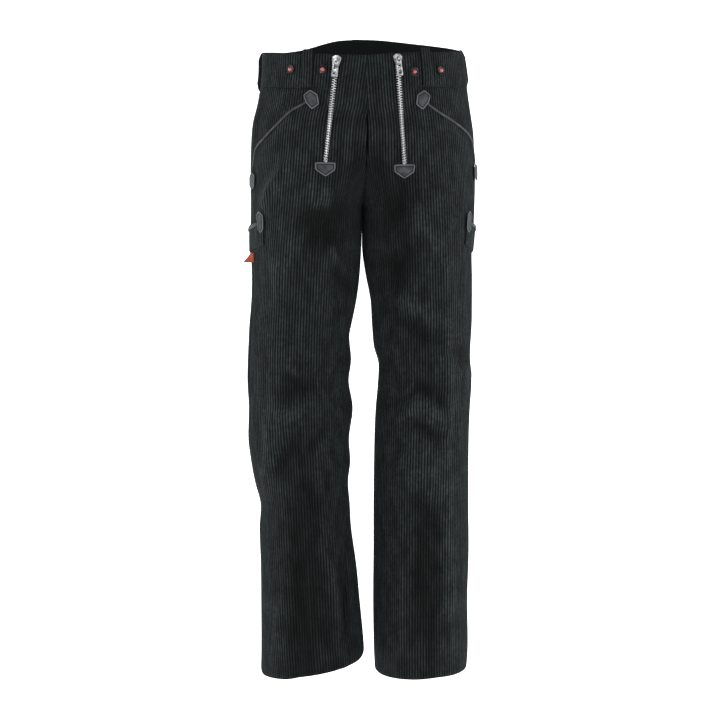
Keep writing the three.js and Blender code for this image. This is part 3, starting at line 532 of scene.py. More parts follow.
def corduroyFinish():
    look = {
        "deepShade": (0.0008, 0.001, 0.001),
        "valleyShade": (0.0026, 0.0036, 0.0036),
        "crestHighlight": (0.039, 0.048, 0.049),
        "dull": (0.0097, 0.012, 0.0122),
        "back": (0.005, 0.006, 0.0063),
    }
    f = Finish("corduroy")
    wale, along, outside = f.attribute("wale"), f.attribute("along"), f.attribute("outside")
    crestHighlight = wale.maths("ABSOLUTE", wale.maths("SINE", wale * pi))
    streak = f.noise(1.0, 3.0, f.onCloth(wale * 0.9, along * 0.16))
    fibre = f.noise(6.0, 2.0, f.onCloth(wale * 1.6, along * 1.4))
    patch = f.noise(1.0, 5.0, f.onCloth(wale * 0.3, along * 0.14, 3.0))
    crushed = f.noise(1.0, 4.0, f.onCloth(wale * 0.85, along * 0.75, 9.0), 0.65)
    # the attribute read here darkens the fold hollows and lightens the ridges and the rule pockets: painted
    # shade and painted highlight; the noise adds random tone
    shade = (f.attribute("paintedLight") * 0.65 + 0.95) * patch.clamp(0.32, 0.68, 0.62, 1.3)
    shade = shade * crushed.clamp(0.3, 0.7, 0.6, 1.4)
    # crests painted light and valleys painted dark by wale height: painted highlight on the wale crests and
    # painted shade in the valleys
    colour = f.blend((crestHighlight ** 2.4) * (streak * 0.8 + 0.35), look["valleyShade"], look["crestHighlight"])
    colour = f.blend(fibre.clamp(0.45, 0.8) * 0.3, colour, look["dull"])
    colour = f.blend(shade * 0.5, look["deepShade"], colour)
    colour = f.blend(outside, look["back"], colour)
    twill = f.node("ShaderNodeTexWave", {"bands_direction": "DIAGONAL"},
                   {"Vector": f.onCloth(wale, along), "Scale": 1.5})
    bump = f.bump(fibre * outside + twill * (1 - outside) * 0.6, 0.35, 0.0006)
    return f.set(colour=colour, rough=0.92, normal=bump, gloss=0.08, sheen=0.045, sheenRough=0.35,
                 sheenTint=(0.6, 0.72, 0.76, 1))


clothFinish = corduroyFinish()
print("materials made")


# Leg panels.
def footRow(side):  # the row at which the zip slot ends
    rows = np.linspace(56, 400, 3441)
    return float(np.interp(zips[side]["footDrop"], levelAt(side, 0.8, rows), rows))


def grainTurn(side, rows, way):
    across = through(grainLines, "drop", side, rows)
    return way * turnAcross(side, across, rows)


frontWidth = 330  # at the fork, where the front is widest
backRise = 20  # how much longer the back is at its centre
legRows = closeRows(bandDepth, hemDrop)
bandRows = np.concatenate([[0, 0.6, 1.6, 3.2], spread(7, bandDepth - 5, corduroy["step"])])


def sewn(mesh, name, node, flat, area, *rests):  # a corduroy piece; the pieces that hold it are not used
    piece = mesh.make(f"corduroy_{name}", clothFinish)
    ridesOn(piece, "corduroy", node)
    declareSheet(piece, *flat, area, [f"corduroy_{other}" for other in rests])


def buildFrontPanel(side):
    foot = footRow(side)
    rows = np.unique(np.concatenate([bandRows, legRows, [foot - 0.8, foot]]))
    start, slotStart, slotEnd, centre = frontTurns(side, rows)
    grain = grainTurn(side, rows, 1)
    above = rows[:-1] < foot - 1e-6
    lateral, slot = rows >= bandDepth, rows >= foot - 1e-6
    mesh = ClothMesh()
    pick = lambda mask, *values: [v[mask] for v in values]
    beside, below = (True, above[lateral[:-1]], True, True), (False, False, True, True)
    area = panelGrid(mesh, side, *pick(lateral, rows, start, slotStart, grain), seam=seamGap, walls=beside)[1]
    flap = (above, True, True, True)
    area += panelGrid(mesh, side, rows, slotEnd, centre, grain, walls=flap, highRoll=0.3)[1]
    area += panelGrid(mesh, side, *pick(slot, rows, slotStart, slotEnd, grain), walls=below, topRoll=False)[1]
    sewn(mesh, f"front_{side}", f"front_{side}", (frontWidth, hemDrop), area, f"back_{side}")


def buildBackPanel(side):
    rows = legRows
    level = levelAt(side, -0.5, rows)
    start, end = -seamTurn(side, 1, level), -seamTurn(side, 0, level)
    mesh = ClothMesh()
    width, area = panelGrid(mesh, side, rows, start, end, grainTurn(side, rows, -1), seam=seamGap)
    flat = width.max(), hemDrop - bandDepth + backRise
    sewn(mesh, f"back_{side}", f"back_{side}", flat, area, f"front_{side}")


for side in legs:
    buildFrontPanel(side)
    buildBackPanel(side)
print("leg panels made")


def leatherFinish(name, dark, light, rough):
    f = Finish(name)
    grain = f.node("ShaderNodeTexVoronoi", {"feature": "DISTANCE_TO_EDGE"},
                   {"Vector": f.node("ShaderNodeTexCoord", out="Object"), "Scale": 700.0})
    cloud = f.noise(90.0, 4.0)
    # the rim attribute lightens the edge bead and darkens the groove: painted highlight and painted shade;
    # the noise adds random tone
    shade = f.attribute("rim") * 0.55 + 0.3 + (cloud - 0.5) * 0.7
    colour = f.blend(shade.clamp(0, 1), dark, light)
    bump = f.bump(grain.clamp(0, 0.35) + cloud * 0.4, 0.5, 0.0003)
    return f.set(colour=colour, rough=rough + cloud * 0.25, normal=bump, gloss=0.2)


def metalFinish(name, low, high, rough):
    f = Finish(name)
    scratch = f.noise(1.0, 4.0, f.place((880.0, 880.0, 220.0)))
    cloud = f.noise(140.0, 3.0)
    colour = f.blend(cloud.clamp(0.35, 0.7), low, high)
    return f.set(colour=colour, metal=1.0, rough=rough + scratch * 0.14, normal=f.bump(scratch, 0.15, 0.0002))


def plainFinish(name, low, high, rough, scale, **more):
    f = Finish(name)
    grain, cloud = f.noise(scale, 2.0), f.noise(scale / 12, 3.0)
    colour = f.blend((grain * 0.5 + cloud * 0.5).clamp(0.35, 0.65), low, high)
    return f.set(colour=colour, rough=rough, normal=f.bump(grain, 0.4, 0.0003), **more)


def wovenFinish(name, low, high, scale):
    f = Finish(name)
    where = f.place((scale, scale, scale))
    warp = f.node("ShaderNodeTexWave", {"bands_direction": "X"}, {"Vector": where, "Scale": 1.0})
    weft = f.node("ShaderNodeTexWave", {"bands_direction": "Z"}, {"Vector": where, "Scale": 1.0})
    weave = warp * 0.5 + weft * 0.5
    return f.set(colour=f.blend(weave, low, high), rough=0.85, normal=f.bump(weave, 0.4, 0.0003), gloss=0.15)


leather = leatherFinish("leather", (0.006, 0.0068, 0.0075), (0.09, 0.101, 0.108), 0.55)
nickel = metalFinish("nickel", (0.13, 0.134, 0.138), (0.36, 0.365, 0.37), 0.3)
toothMetal = metalFinish("tooth_metal", (0.42, 0.43, 0.435), (0.66, 0.67, 0.675), 0.3)
darkMetal = metalFinish("dark_metal", (0.012, 0.012, 0.013), (0.04, 0.04, 0.042), 0.28)
redEnamel = plainFinish("red_enamel", (0.14, 0.01, 0.008), (0.3, 0.03, 0.02), 0.18, 160.0, coat=0.6)
thread = plainFinish("thread", (0.003, 0.0034, 0.0037), (0.011, 0.013, 0.014), 0.8, 1500.0, gloss=0.1)
tapeCloth = wovenFinish("zip_tape", (0.003, 0.0035, 0.004), (0.011, 0.012, 0.013), 900.0)
ribbonCloth = wovenFinish("side_ribbon", (0.13, 0.018, 0.01), (0.27, 0.05, 0.025), 1100.0)


# Waistband, pocket facings and rule pockets.
bandLift, bandThick = 0.6, 3.2
facing = {"sink": 2.8, "thick": 1.6, "under": 12, "beyond": 10}


def buildWaistband(side):
    rows = closeRows(0, bandDepth)
    end = frontTurns(side, rows)[1]
    start = -seamTurn(side, 1, rows + through(topEdges, "share", side, -1.0))
    grain = (grainTurn(side, rows, 1) + grainTurn(side, rows * 0 + bandDepth / 2, 1)) / 2
    mesh = ClothMesh()
    width, area = panelGrid(mesh, side, rows, start, end, grain, lift=bandLift, thick=bandThick)
    name, flat = f"waistband_{side}", (width.max(), bandDepth)
    sewn(mesh, name, name, flat, area, f"front_{side}", f"back_{side}")


def buildFacing(side):
    rows = legRows[levelAt(side, 0.8, legRows) < mouthFoot[side] + facing["beyond"]]
    level = levelAt(side, 0.8, rows)
    half = ring(side, rows)[1]
    mouth = np.maximum(np.radians(through(mouths, "drop", side, level)), seamTurn(side, 0, level))
    start, end = seamGap / half, mouth + facing["under"] / half
    past = fade(level - mouthFoot[side], -2, 1)[:, None]

    def sinkAt(turn, place):
        share = (turn - start[:, None]) / (mouth - start)[:, None]
        beyond = (turn - mouth[:, None]) * half[:, None]
        return facing["sink"] * np.maximum(fade(share, 0, 0.66), past), fade(beyond, -2, 1)

    mesh = ClothMesh()
    width, area = panelGrid(mesh, side, rows, start, end, grainTurn(side, rows, 1), seam=seamGap,
                            thick=facing["thick"], sinkAt=sinkAt)
    flat = width.max(), rows[-1] - rows[0]
    sewn(mesh, f"facing_{side}", f"pocket_facing_{side}", flat, area, f"front_{side}")


rulePocket = {
    "reach": 40,
    "corner": 280,
    "cornerFoot": 320,
    "dip": 15,
    "footDip": 16,
    "binding": 6,
    "lift": 0.9,
    "flatLength": 56,
    "meanHeight": 40.5,
}


def ruleDrop(turn, share):  # from the slanted mouth, share 0, to the foot, share 1
    dip = 1 - np.abs(turn) / radians(rulePocket["reach"])
    top = rulePocket["corner"] + rulePocket["dip"] * dip
    return top + (rulePocket["cornerFoot"] + rulePocket["footDip"] * dip - top) * share


def buildRulePocket(side):
    reach = radians(rulePocket["reach"])
    scale = metric(side, 0.0, 300.0)
    most = reach * scale / corduroy["pitch"]
    place = np.clip(np.arange(-ceil(most) * 6, ceil(most) * 6 + 1) / 6, -most, most)[None, :]
    share = np.concatenate([[0, 0.02, 0.05, 0.1], np.linspace(0.2, 0.8, 5), [0.9, 0.95, 0.98, 1]])[:, None]
    turn, share, place = np.broadcast_arrays(place * corduroy["pitch"] / scale, share, place)
    drop = ruleDrop(turn, share)
    long = ruleDrop(turn, 1.0) - ruleDrop(turn, 0.0)
    rim = np.maximum(rolled((reach - np.abs(turn)) * scale), rolled(np.minimum(share, 1 - share) * long))
    lift = rulePocket["lift"] + clothThick
    columns = list(range(0, place.shape[1], 6))
    mesh = ClothMesh()
    outer = cloth(side, turn, drop, lift + waleHeight(place) - rim)
    inner = cloth(side, turn[:, columns], drop[:, columns], rulePocket["lift"])
    # the whole rule pocket is painted lighter: a painted sheen on its cloth
    mesh.addGrid(outer, inner, columns, place, drop / corduroy["pitch"], paintedLight=0.8)
    width = 2 * reach * scale
    name, flat = f"rule_pocket_{side}", (width, rulePocket["flatLength"])
    sewn(mesh, name, name, flat, width * rulePocket["meanHeight"], f"front_{side}")


beltLoop = {"width": 18, "thick": 2.4, "seat": 1, "ramp": 0.2, "bow": 0.7, "wales": 4}
beltLoops = {
    "front": {"share": 0.62, "stand": 2.2, "above": 7, "below": -1},
    "side": {"share": -0.13, "stand": 5.6, "above": 0, "below": 9},
    "back": {"share": -1, "stand": 2.2, "above": 0, "below": 5},
}


def buildLoop(kind, side):
    spec, wide, wales = beltLoops[kind], beltLoop["width"], beltLoop["wales"]
    length = spec["above"] + bandDepth + spec["below"]
    t = np.concatenate([[0, 0.012, 0.03, 0.06], np.linspace(0.1, 0.9, 17), [0.94, 0.97, 0.988, 1]])[:, None]
    place = np.linspace(-wales / 2, wales / 2, wales * 6 + 1)[None, :]
    t, place = np.broadcast_arrays(t, place)
    across = place / wales * wide
    middle = spec["share"] * pi / 2
    scale = metric(side, middle, bandDepth / 2)
    drop = through(topEdges, "share", side, float(spec["share"])) - spec["above"] + length * t
    bow = np.minimum(1, np.minimum(t, 1 - t) / beltLoop["ramp"]) ** beltLoop["bow"]
    low = beltLoop["seat"] + spec["stand"] * bow
    edge = np.minimum(wide / 2 - np.abs(across), np.minimum(t, 1 - t) * length)
    high = low + beltLoop["thick"] - 0.4 + waleHeight(place, 0.8) - 1.2 * rolled(edge, 1.6)

    def place3d(out, pick):
        if spec["share"] > -1:
            return cloth(side, (middle + across / scale)[:, pick], drop[:, pick], out[:, pick])
        both = [cloth(s, (np.abs(across) / scale - pi / 2)[:, pick], drop[:, pick], out[:, pick])
                for s in ("right", "left")]
        return np.where((across[:, pick] > 0)[..., None], both[1], both[0])

    columns = list(range(0, place.shape[1], 6))
    mesh = ClothMesh()
    outer, inner = place3d(high, slice(None)), place3d(low + 0.1, columns)
    mesh.addGrid(outer, inner, columns, place, drop / corduroy["pitch"])
    label = kind if kind == "back" else f"{kind}_{side}"
    flat, area = (wide, length * 1.12), wide * length * 1.1
    sewn(mesh, f"loop_{label}", f"belt_loop_{label}", flat, area, f"waistband_{side}")


for side in legs:
    buildWaistband(side)
    buildFacing(side)
    buildRulePocket(side)
    buildLoop("front", side)
    buildLoop("side", side)
buildLoop("back", "left")
print("waistband, facings, rule pockets and loops made")


# Small hard pieces.
def editStart(piece):
    onlySelect(piece)
    bpy.ops.object.mode_set(mode="EDIT")
    bpy.ops.mesh.select_all(action="SELECT")


def editEnd():
    bpy.ops.object.mode_set(mode="OBJECT")


def bevel(piece, width, segments):  # width in millimetres
    useModifier(piece, "BEVEL", width=width / 1000, segments=segments, limit_method="ANGLE")


def useModifier(piece, kind, **settings):
    onlySelect(piece)
    modifier = piece.modifiers.new(kind.title(), kind)
    for key, value in settings.items():
        setattr(modifier, key, value)
    bpy.ops.object.modifier_apply(modifier=modifier.name)


def primitive(add, name, **settings):  # a new piece whose place and scale are in its mesh
    bpy.ops.object.select_all(action="DESELECT")
    add(**settings)
    piece = bpy.context.object
    piece.name = name
    bpy.ops.object.transform_apply(location=True, rotation=True, scale=True)
    return piece


def edges(outline):
    return zip(outline, outline[1:] + outline[:1])


def cutPlate(name, outline):  # a flat face cut to a convex outline, in millimetres, x across and y up
    piece = primitive(bpy.ops.mesh.primitive_plane_add, name, size=0.08)
    editStart(piece)
    middle = np.mean(outline, axis=0)
    for (x0, y0), (x1, y1) in edges(outline):
        normal = np.array([y1 - y0, x0 - x1], float)
        normal *= np.sign(normal @ (np.array([x0, y0]) - middle)) / np.linalg.norm(normal)
        bpy.ops.mesh.select_all(action="SELECT")
        bpy.ops.mesh.bisect(plane_co=(x0 / 1000, y0 / 1000, 0), plane_no=(*normal, 0), clear_outer=True,
                            threshold=1e-6)
    bpy.ops.mesh.select_all(action="SELECT")
    return piece


def coordinates(piece):
    co = np.zeros(len(piece.data.vertices) * 3)
    piece.data.vertices.foreach_get("co", co)
    return co.reshape(-1, 3)


def setCoordinates(piece, points):
    piece.data.vertices.foreach_set("co", np.asarray(points, float).ravel())
    work = bmesh.new()
    work.from_mesh(piece.data)
    if work.calc_volume(signed=True) < 0:
        bmesh.ops.reverse_faces(work, faces=work.faces)
    work.to_mesh(piece.data)
    work.free()
    piece.data.update()


def layOn(piece, side, turn, drop, low):  # bends a flat piece to the cloth under it
    flat = coordinates(piece) * 1000
    turns, drops = placeOn(side, turn, drop, flat[:, 0], flat[:, 1])
    setCoordinates(piece, cloth(side, turns, drops, low + flat[:, 2]) / 1000)


def placeOn(side, turn, drop, x, y):  # on the front a piece keeps upright, at the side it follows the leg
    if turn > pi / 4:
        half, middle = ring(side, drop)[1:3]
        upright = turnAcross(side, middle + half * cos(turn), drop - y)
    else:
        upright = turn
    return upright + x / metric(side, turn, drop), drop - y


def frameOn(side, turn, drop, out, lean=0.0):  # x to the wearer's left, y up the cloth, z out of it
    base, tip = cloth(side, turn, drop, 0.0), cloth(side, turn, drop, 1.0)
    z = Vector(tip - base).normalized()
    y = Vector(skin(side, turn, drop - 4) - skin(side, turn, drop + 4)).normalized()
    x = y.cross(z).normalized()
    y = z.cross(x)
    turned = Matrix((x, y, z)).transposed().to_4x4() @ Matrix.Rotation(lean, 4, "Z")
    return Matrix.Translation(Vector(cloth(side, turn, drop, out)) / 1000) @ turned


leatherPiece = {
    "edge": 1.2,
    "insets": [(0.5, 0.45), (1.3, 0.1), (0.8, -0.55), (1.5, 0.4), (2.6, 0.15)],  # width, rise
    "cuts": 3,
    "rimHighlightAt": (0.9, 0.9),
    "grooveShadeAt": (2.8, 0.8),
}


def leatherShape(name, outline):
    s = leatherPiece
    piece = cutPlate(name, outline)
    for wide, deep in s["insets"]:
        bpy.ops.mesh.inset(thickness=wide / 1000, depth=deep / 1000)
    bpy.ops.mesh.poke()
    bpy.ops.mesh.select_all(action="SELECT")
    bpy.ops.mesh.subdivide(number_cuts=s["cuts"])
    editEnd()
    useModifier(piece, "SMOOTH", factor=0.5, iterations=2)
    # painted highlight along the raised edge bead and painted shade in the groove inside it
    rim = piece.data.attributes.new("rim", "FLOAT", "POINT")
    toEdge = outlineDistance(outline, coordinates(piece)[:, :2] * 1000)
    light, dark = (np.exp(-(((toEdge - at) / wide) ** 2)) for at, wide in (s["rimHighlightAt"], s["grooveShadeAt"]))
    rim.data.foreach_set("value", light - dark)
    useModifier(piece, "SOLIDIFY", thickness=s["edge"] / 1000, offset=-1)
    return piece


def outlineDistance(outline, points):
    best = np.full(len(points), 1e9)
    for a, b in edges(outline):
        a, b = np.array(a, float), np.array(b, float)
        t = np.clip((points - a) @ (b - a) / ((b - a) @ (b - a)), 0, 1)
        best = np.minimum(best, np.linalg.norm(points - a - t[:, None] * (b - a), axis=1))
    return best


def insetOutline(outline, gap):  # the same convex outline, moved in
    middle, lines, corners = np.mean(outline, axis=0), [], []
    for a, b in edges(outline):
        n = np.array([b[1] - a[1], a[0] - b[0]], float)
        n *= np.sign(n @ (middle - a)) / np.linalg.norm(n)
        lines.append((n, n @ np.array(a) + gap))
    for (n0, c0), (n1, c1) in zip(lines[-1:] + lines[:-1], lines):
        corners.append(tuple(np.linalg.solve(np.array([n0, n1]), np.array([c0, c1]))))
    return corners


# Stitches: one bead of thread, copied along each seam.
stitch = {"length": 2.9, "gap": 0.9, "thick": 0.55}
stitchPaths = {"right": [], "left": []}


def addStitches(side, points, normals):  # along a path of points, in millimetres
    steps = np.linalg.norm(np.diff(points, axis=0), axis=1)
    run = np.concatenate([[0], np.cumsum(steps)])
    pitch = stitch["length"] + stitch["gap"]
    count = max(1, int(run[-1] // pitch))
    pitch = run[-1] / count
    at = lambda d, values: np.stack([np.interp(d, run, values[:, k]) for k in range(3)], -1)
    starts = np.arange(count) * pitch + stitch["gap"] / 2
    a, b = at(starts, points), at(starts + pitch - stitch["gap"], points)
    stitchPaths[side].append((a, b, at(starts + pitch / 2, normals)))


def seamStitches(side, turn, drop, out):
    turn, drop, out = np.broadcast_arrays(*(np.asarray(v, float) for v in (turn, drop, out)))
    points = cloth(side, turn, drop, out)
    addStitches(side, points, cloth(side, turn, drop, out + 1) - points)


def outlineStitches(side, turn, drop, outline, out):
    for (x0, y0), (x1, y1) in edges(outline):
        t = np.linspace(0, 1, 8)
        seamStitches(side, *placeOn(side, turn, drop, x0 + (x1 - x0) * t, y0 + (y1 - y0) * t), out)


def buildStitches(side):
    bead = primitive(bpy.ops.mesh.primitive_uv_sphere_add, "bead", segments=6, ring_count=4, radius=1)
    form = coordinates(bead)
    faces = [list(p.vertices) for p in bead.data.polygons]
    bpy.data.objects.remove(bead)
    a, b, n = (np.concatenate(column) for column in zip(*stitchPaths[side]))
    way = (b - a) / np.linalg.norm(b - a, axis=1, keepdims=True)
    n = n - (n * way).sum(1, keepdims=True) * way
    n /= np.linalg.norm(n, axis=1, keepdims=True)
    across = np.cross(way, n)
    half = np.linalg.norm(b - a, axis=1)[:, None, None] / 2
    thick = stitch["thick"] / 2
    points = ((a + b) / 2)[:, None] + form[None, :, 2:3] * half * way[:, None] \
        + form[None, :, 0:1] * thick * across[:, None] + form[None, :, 1:2] * thick * 0.8 * n[:, None]
    every = [[v + k * len(form) for v in f] for k in range(len(a)) for f in faces]
    piece = newPiece(f"stitches_{side}", points.reshape(-1, 3) / 1000, every)
    piece.data.materials.append(thread)
    smooth(piece, 60)
    setCoordinates(piece, coordinates(piece))
    ridesOn(piece, "corduroy")


# Leather.
frontTab = [(-2, 16), (-13.5, 7), (-9.5, -4.5), (1, -16.5), (13, -8), (11, 8)]
sideTab = [(0, 15), (-15, 8), (-15, -7), (0, -14), (14, -9), (14, 10)]
endTab = [(-16.8, 0), (-16.8, -12), (0, -23), (16.8, -12), (16.8, 0)]
cornerPatch = [(0, 19), (-8, 12), (-8, -11), (0, -18), (8, -11), (8, 12)]
leatherLift, pipingTop, ruleLift, threadIn = 0.9, 2.8, 3.2, 2.3
frontTabTurn, frontTabDrop = 59.5, 84.5
piping = {"width": 4, "low": 0.7, "thick": 1.8, "from": 72, "around": 14}


def leatherTab(name, side, turn, drop, outline, low):
    piece = leatherShape(f"leather_{name}", outline)
    layOn(piece, side, turn, drop, low + leatherPiece["edge"])
    smooth(piece, 45)
    piece.data.materials.append(leather)
    ridesOn(piece, "leather", name)
    outlineStitches(side, turn, drop, insetOutline(outline, threadIn), low + 1.55)


def rollOn(name, side, turn, drop, width, low):  # a rounded leather strip along a line on the cloth
    turn, drop = np.asarray(turn, float), np.asarray(drop, float)
    around, rows, thick = piping["around"], len(turn), piping["thick"]
    add = bpy.ops.mesh.primitive_grid_add
    piece = primitive(add, name, x_subdivisions=around, y_subdivisions=rows - 1, size=1)
    flat = coordinates(piece) + 0.5
    row = np.rint(flat[:, 1] * (rows - 1)).astype(int)
    angle = flat[:, 0] * 2 * pi
    path = cloth(side, turn, drop, low)
    along = np.gradient(path, axis=0)
    normal = cloth(side, turn, drop, low + 1) - path
    across = np.cross(along, normal)
    across /= np.linalg.norm(across, axis=1, keepdims=True)
    end = np.clip(np.minimum(row, rows - 1 - row) / 2 + 0.55, 0, 1)
    lift = thick / 2 * (1 + np.sign(np.sin(angle)) * np.abs(np.sin(angle)) ** 0.7 * end)
    beside = width / 2 * np.cos(angle) * end
    points = path[row] + across[row] * beside[:, None] + normal[row] * lift[:, None]
    piece.data.vertices.foreach_set("co", (points / 1000).ravel())
    editStart(piece)
    bpy.ops.mesh.remove_doubles(threshold=0.00001)
    bpy.ops.mesh.select_all(action="DESELECT")
    bpy.ops.mesh.select_non_manifold()
    bpy.ops.mesh.fill()
    editEnd()
    setCoordinates(piece, coordinates(piece))
    smooth(piece, 60)
    piece.data.materials.append(leather)
    return piece


def buildLeather(side):
    leatherTab(f"pocket_front_tab_{side}", side, radians(frontTabTurn), frontTabDrop, frontTab, pipingTop)
    leatherTab(f"pocket_side_tab_{side}", side, radians(sideTabTurn), sideTabDrop[side], sideTab, pipingTop)
    foot = zips[side]["footDrop"]
    turn = float(turnAcross(side, zips[side]["foot"], foot))
    leatherTab(f"zip_end_tab_{side}", side, turn, foot, endTab, leatherLift)
    for kind, way in (("front", 1), ("back", -1)):
        turn = way * radians(rulePocket["reach"] - 3)
        leatherTab(f"rule_corner_{kind}_{side}", side, turn, rulePocket["corner"] + 3, cornerPatch, ruleLift)
    rows = np.arange(60, 240, 3.0)
    level = levelAt(side, 0.3, rows)
    rows = rows[(level > piping["from"]) & (level < mouthFoot[side])]
    start, half = frontTurns(side, rows)[0], ring(side, rows)[1]
    turn = start + piping["width"] / 2 / half
    drop = levelAt(side, turn / ring(side, rows)[0], rows)
    piece = rollOn(f"leather_piping_{side}", side, turn, drop, piping["width"], piping["low"])
    ridesOn(piece, "leather", f"pocket_piping_{side}")
    seamStitches(side, start + (piping["width"] + 2.5) / half, drop, 0.5)
    turn = np.linspace(-1, 1, 44) * radians(rulePocket["reach"] - 8)
    drop = ruleDrop(turn, 0.0) + rulePocket["binding"] / 2
    piece = rollOn(f"leather_binding_{side}", side, turn, drop, rulePocket["binding"], ruleLift)
    ridesOn(piece, "leather", f"rule_binding_{side}")


for side in legs:
    buildLeather(side)
print("leather made")


# Zips.
sliderDrop = 10
tooth = {
    "pitch": 4,
    "tail": 4.1,
    "head": 0.6,
    "thick": 1.5,
    "low": -2.4,
    "high": 1.15,
    "cuts": (0.8, 2.8),
    "headShare": (0.8, 0.72),  # of the width and of the height
    "tailShare": (0.64, 0.55),
}
slider = {"crown": 2.5, "half": 7.4, "waist": 4.6, "up": 8, "down": 9, "shoulder": 3, "low": 1.6, "high": 3.2}
bridge = {"half": 1.3, "inner": 2.2, "wall": 1.2, "clear": 1.45}
pull = {
    "half": 4.6,
    "foot": 5.4,
    "length": 28,
    "thick": 1.4,
    "bar": 0.9,
    "bevel": 1.5,
    "eye": 2.7,
    "eyeUp": 5.6,
    "window": ((-2.2, -4.8, -3), (2.2, -0.9, 3)),
    "slot": ((-2.6, -14.8, -3), (2.6, -8.8, 3)),
}
zipStop = ((-3.1, -2.6, -2.3), (3.1, 2.0, 1.5))
tape = {
    "half": 12,
    "groove": 6.2,
    "bed": 5.6,
    "low": -4,
    "high": -3.1,
    "cord": 4.6,
    "cordHigh": 0.9,
    "cordWide": 0.7,
    "runOn": 14,
}


def boxPiece(name, low, high):
    low, high = np.array(low) / 1000, np.array(high) / 1000
    add = bpy.ops.mesh.primitive_cube_add
    return primitive(add, name, size=1, location=(low + high) / 2, scale=high - low)


def toothForm():  # one tooth, reaching from its tail at +x to its rounded head
    t = tooth
    piece = boxPiece("tooth", (-t["head"], -t["thick"] / 2, t["low"]), (t["tail"], t["thick"] / 2, t["high"]))
    editStart(piece)
    for cut in t["cuts"]:
        bpy.ops.mesh.select_all(action="SELECT")
        bpy.ops.mesh.bisect(plane_co=(cut / 1000, 0, 0), plane_no=(1, 0, 0))
    editEnd()
    co = coordinates(piece)
    x = co[:, 0] * 1000
    (headWide, headHigh), (tailWide, tailHigh) = t["headShare"], t["tailShare"]
    co[:, 1] *= np.where(x < 0, headWide, np.where(x < 1.5, 1.0, tailWide))
    lower = np.where(x < 0, headHigh, np.where(x > 4, tailHigh, 1.0))
    co[:, 2] = np.where(co[:, 2] > 0, co[:, 2] * lower, co[:, 2])
    piece.data.vertices.foreach_set("co", co.ravel())
    bevel(piece, 0.22, 1)
    form, faces = coordinates(piece), [list(p.vertices) for p in piece.data.polygons]
    bpy.data.objects.remove(piece)
    return form, faces


def zipTop(side):
    return through(topEdges, "share", side, 0.8)


def zipFrame(side, drop, lean):
    return frameOn(side, float(turnAcross(side, zipAcross(side, drop), drop)), drop, 0.0, lean)


def buildTeeth(side, form, faces):
    top, foot = zipTop(side) + sliderDrop - 1, zips[side]["footDrop"] - 4.5
    drops = np.arange(top, foot, tooth["pitch"] / 2)
    points, every = [], []
    lean = (zips[side]["foot"] - zips[side]["top"]) / zips[side]["footDrop"] * legs[side]["sign"]
    for k, drop in enumerate(drops):
        m = zipFrame(side, float(drop), lean)
        flip = np.array([1, 1, 1]) if k % 2 else np.array([-1, -1, 1])
        points.append((form * flip) @ np.array(m.to_3x3()).T + np.array(m.translation))
        every += [[v + k * len(form) for v in f] for f in faces]
    piece = newPiece(f"zip_teeth_{side}", np.concatenate(points), every)
    piece.data.materials.append(toothMetal)
    smooth(piece, 35)
    ridesOn(piece, "zip_metal", f"zip_chain_{side}")
    stop = boxPiece(f"zip_stop_{side}", *zipStop)
    bevel(stop, 0.6, 3)
    drop = foot + 1.6
    finishMetal(stop, zipFrame(side, float(drop), lean), nickel)
    ridesOn(stop, "zip_metal")


def buildTape(side):
    drop = np.linspace(zipTop(side) + 1, zips[side]["footDrop"] + tape["runOn"], 60)[:, None]
    selvage = np.linspace(tape["groove"], tape["half"], 4)
    bed = np.linspace(-tape["bed"], tape["bed"], 15)
    across = np.concatenate([-selvage[::-1], bed, selvage])[None, :]
    middle = turnAcross(side, zipAcross(side, drop), drop)
    turn = middle + across / metric(side, middle, drop)
    drop = drop + 0 * across
    fromCord = (np.abs(across) - tape["cord"]) / tape["cordWide"]
    cord = tape["cordHigh"] * np.exp(-(fromCord**2)) + 0 * turn
    mesh = ClothMesh()
    columns = list(range(0, across.shape[1], 2))
    inner = cloth(side, turn[:, columns], drop[:, columns], tape["low"])
    outer = cloth(side, turn, drop, tape["high"] + cord)
    mesh.addGrid(outer, inner, columns, across / corduroy["pitch"] + 0 * turn, drop / 4)
    piece = mesh.make(f"woven_tape_{side}", tapeCloth)
    ridesOn(piece, "zip_tape", f"zip_tape_{side}")
    length = float(drop[-1, 0] - drop[0, 0])
    wide = 2 * tape["half"]
    declareSheet(piece, wide, length, wide * length, [f"corduroy_front_{side}"])


def thicken(piece, thick):
    editEnd()
    useModifier(piece, "SOLIDIFY", thickness=thick / 1000, offset=1)


def cutOut(piece, tool):
    onlySelect(piece)
    modifier = piece.modifiers.new("Cut", "BOOLEAN")
    modifier.operation, modifier.object, modifier.solver = "DIFFERENCE", tool, "EXACT"
    bpy.ops.object.modifier_apply(modifier=modifier.name)
    bpy.data.objects.remove(tool)


def sliderAt(side):
    drop = float(zipTop(side) + sliderDrop)
    low = drop + 20
    lean = float(zipAcross(side, low) - zipAcross(side, drop)) / (low - drop) * legs[side]["sign"]
    return zipFrame(side, drop, lean)


def mirrored(half):
    return half + [(-x, y) for x, y in reversed(half)]


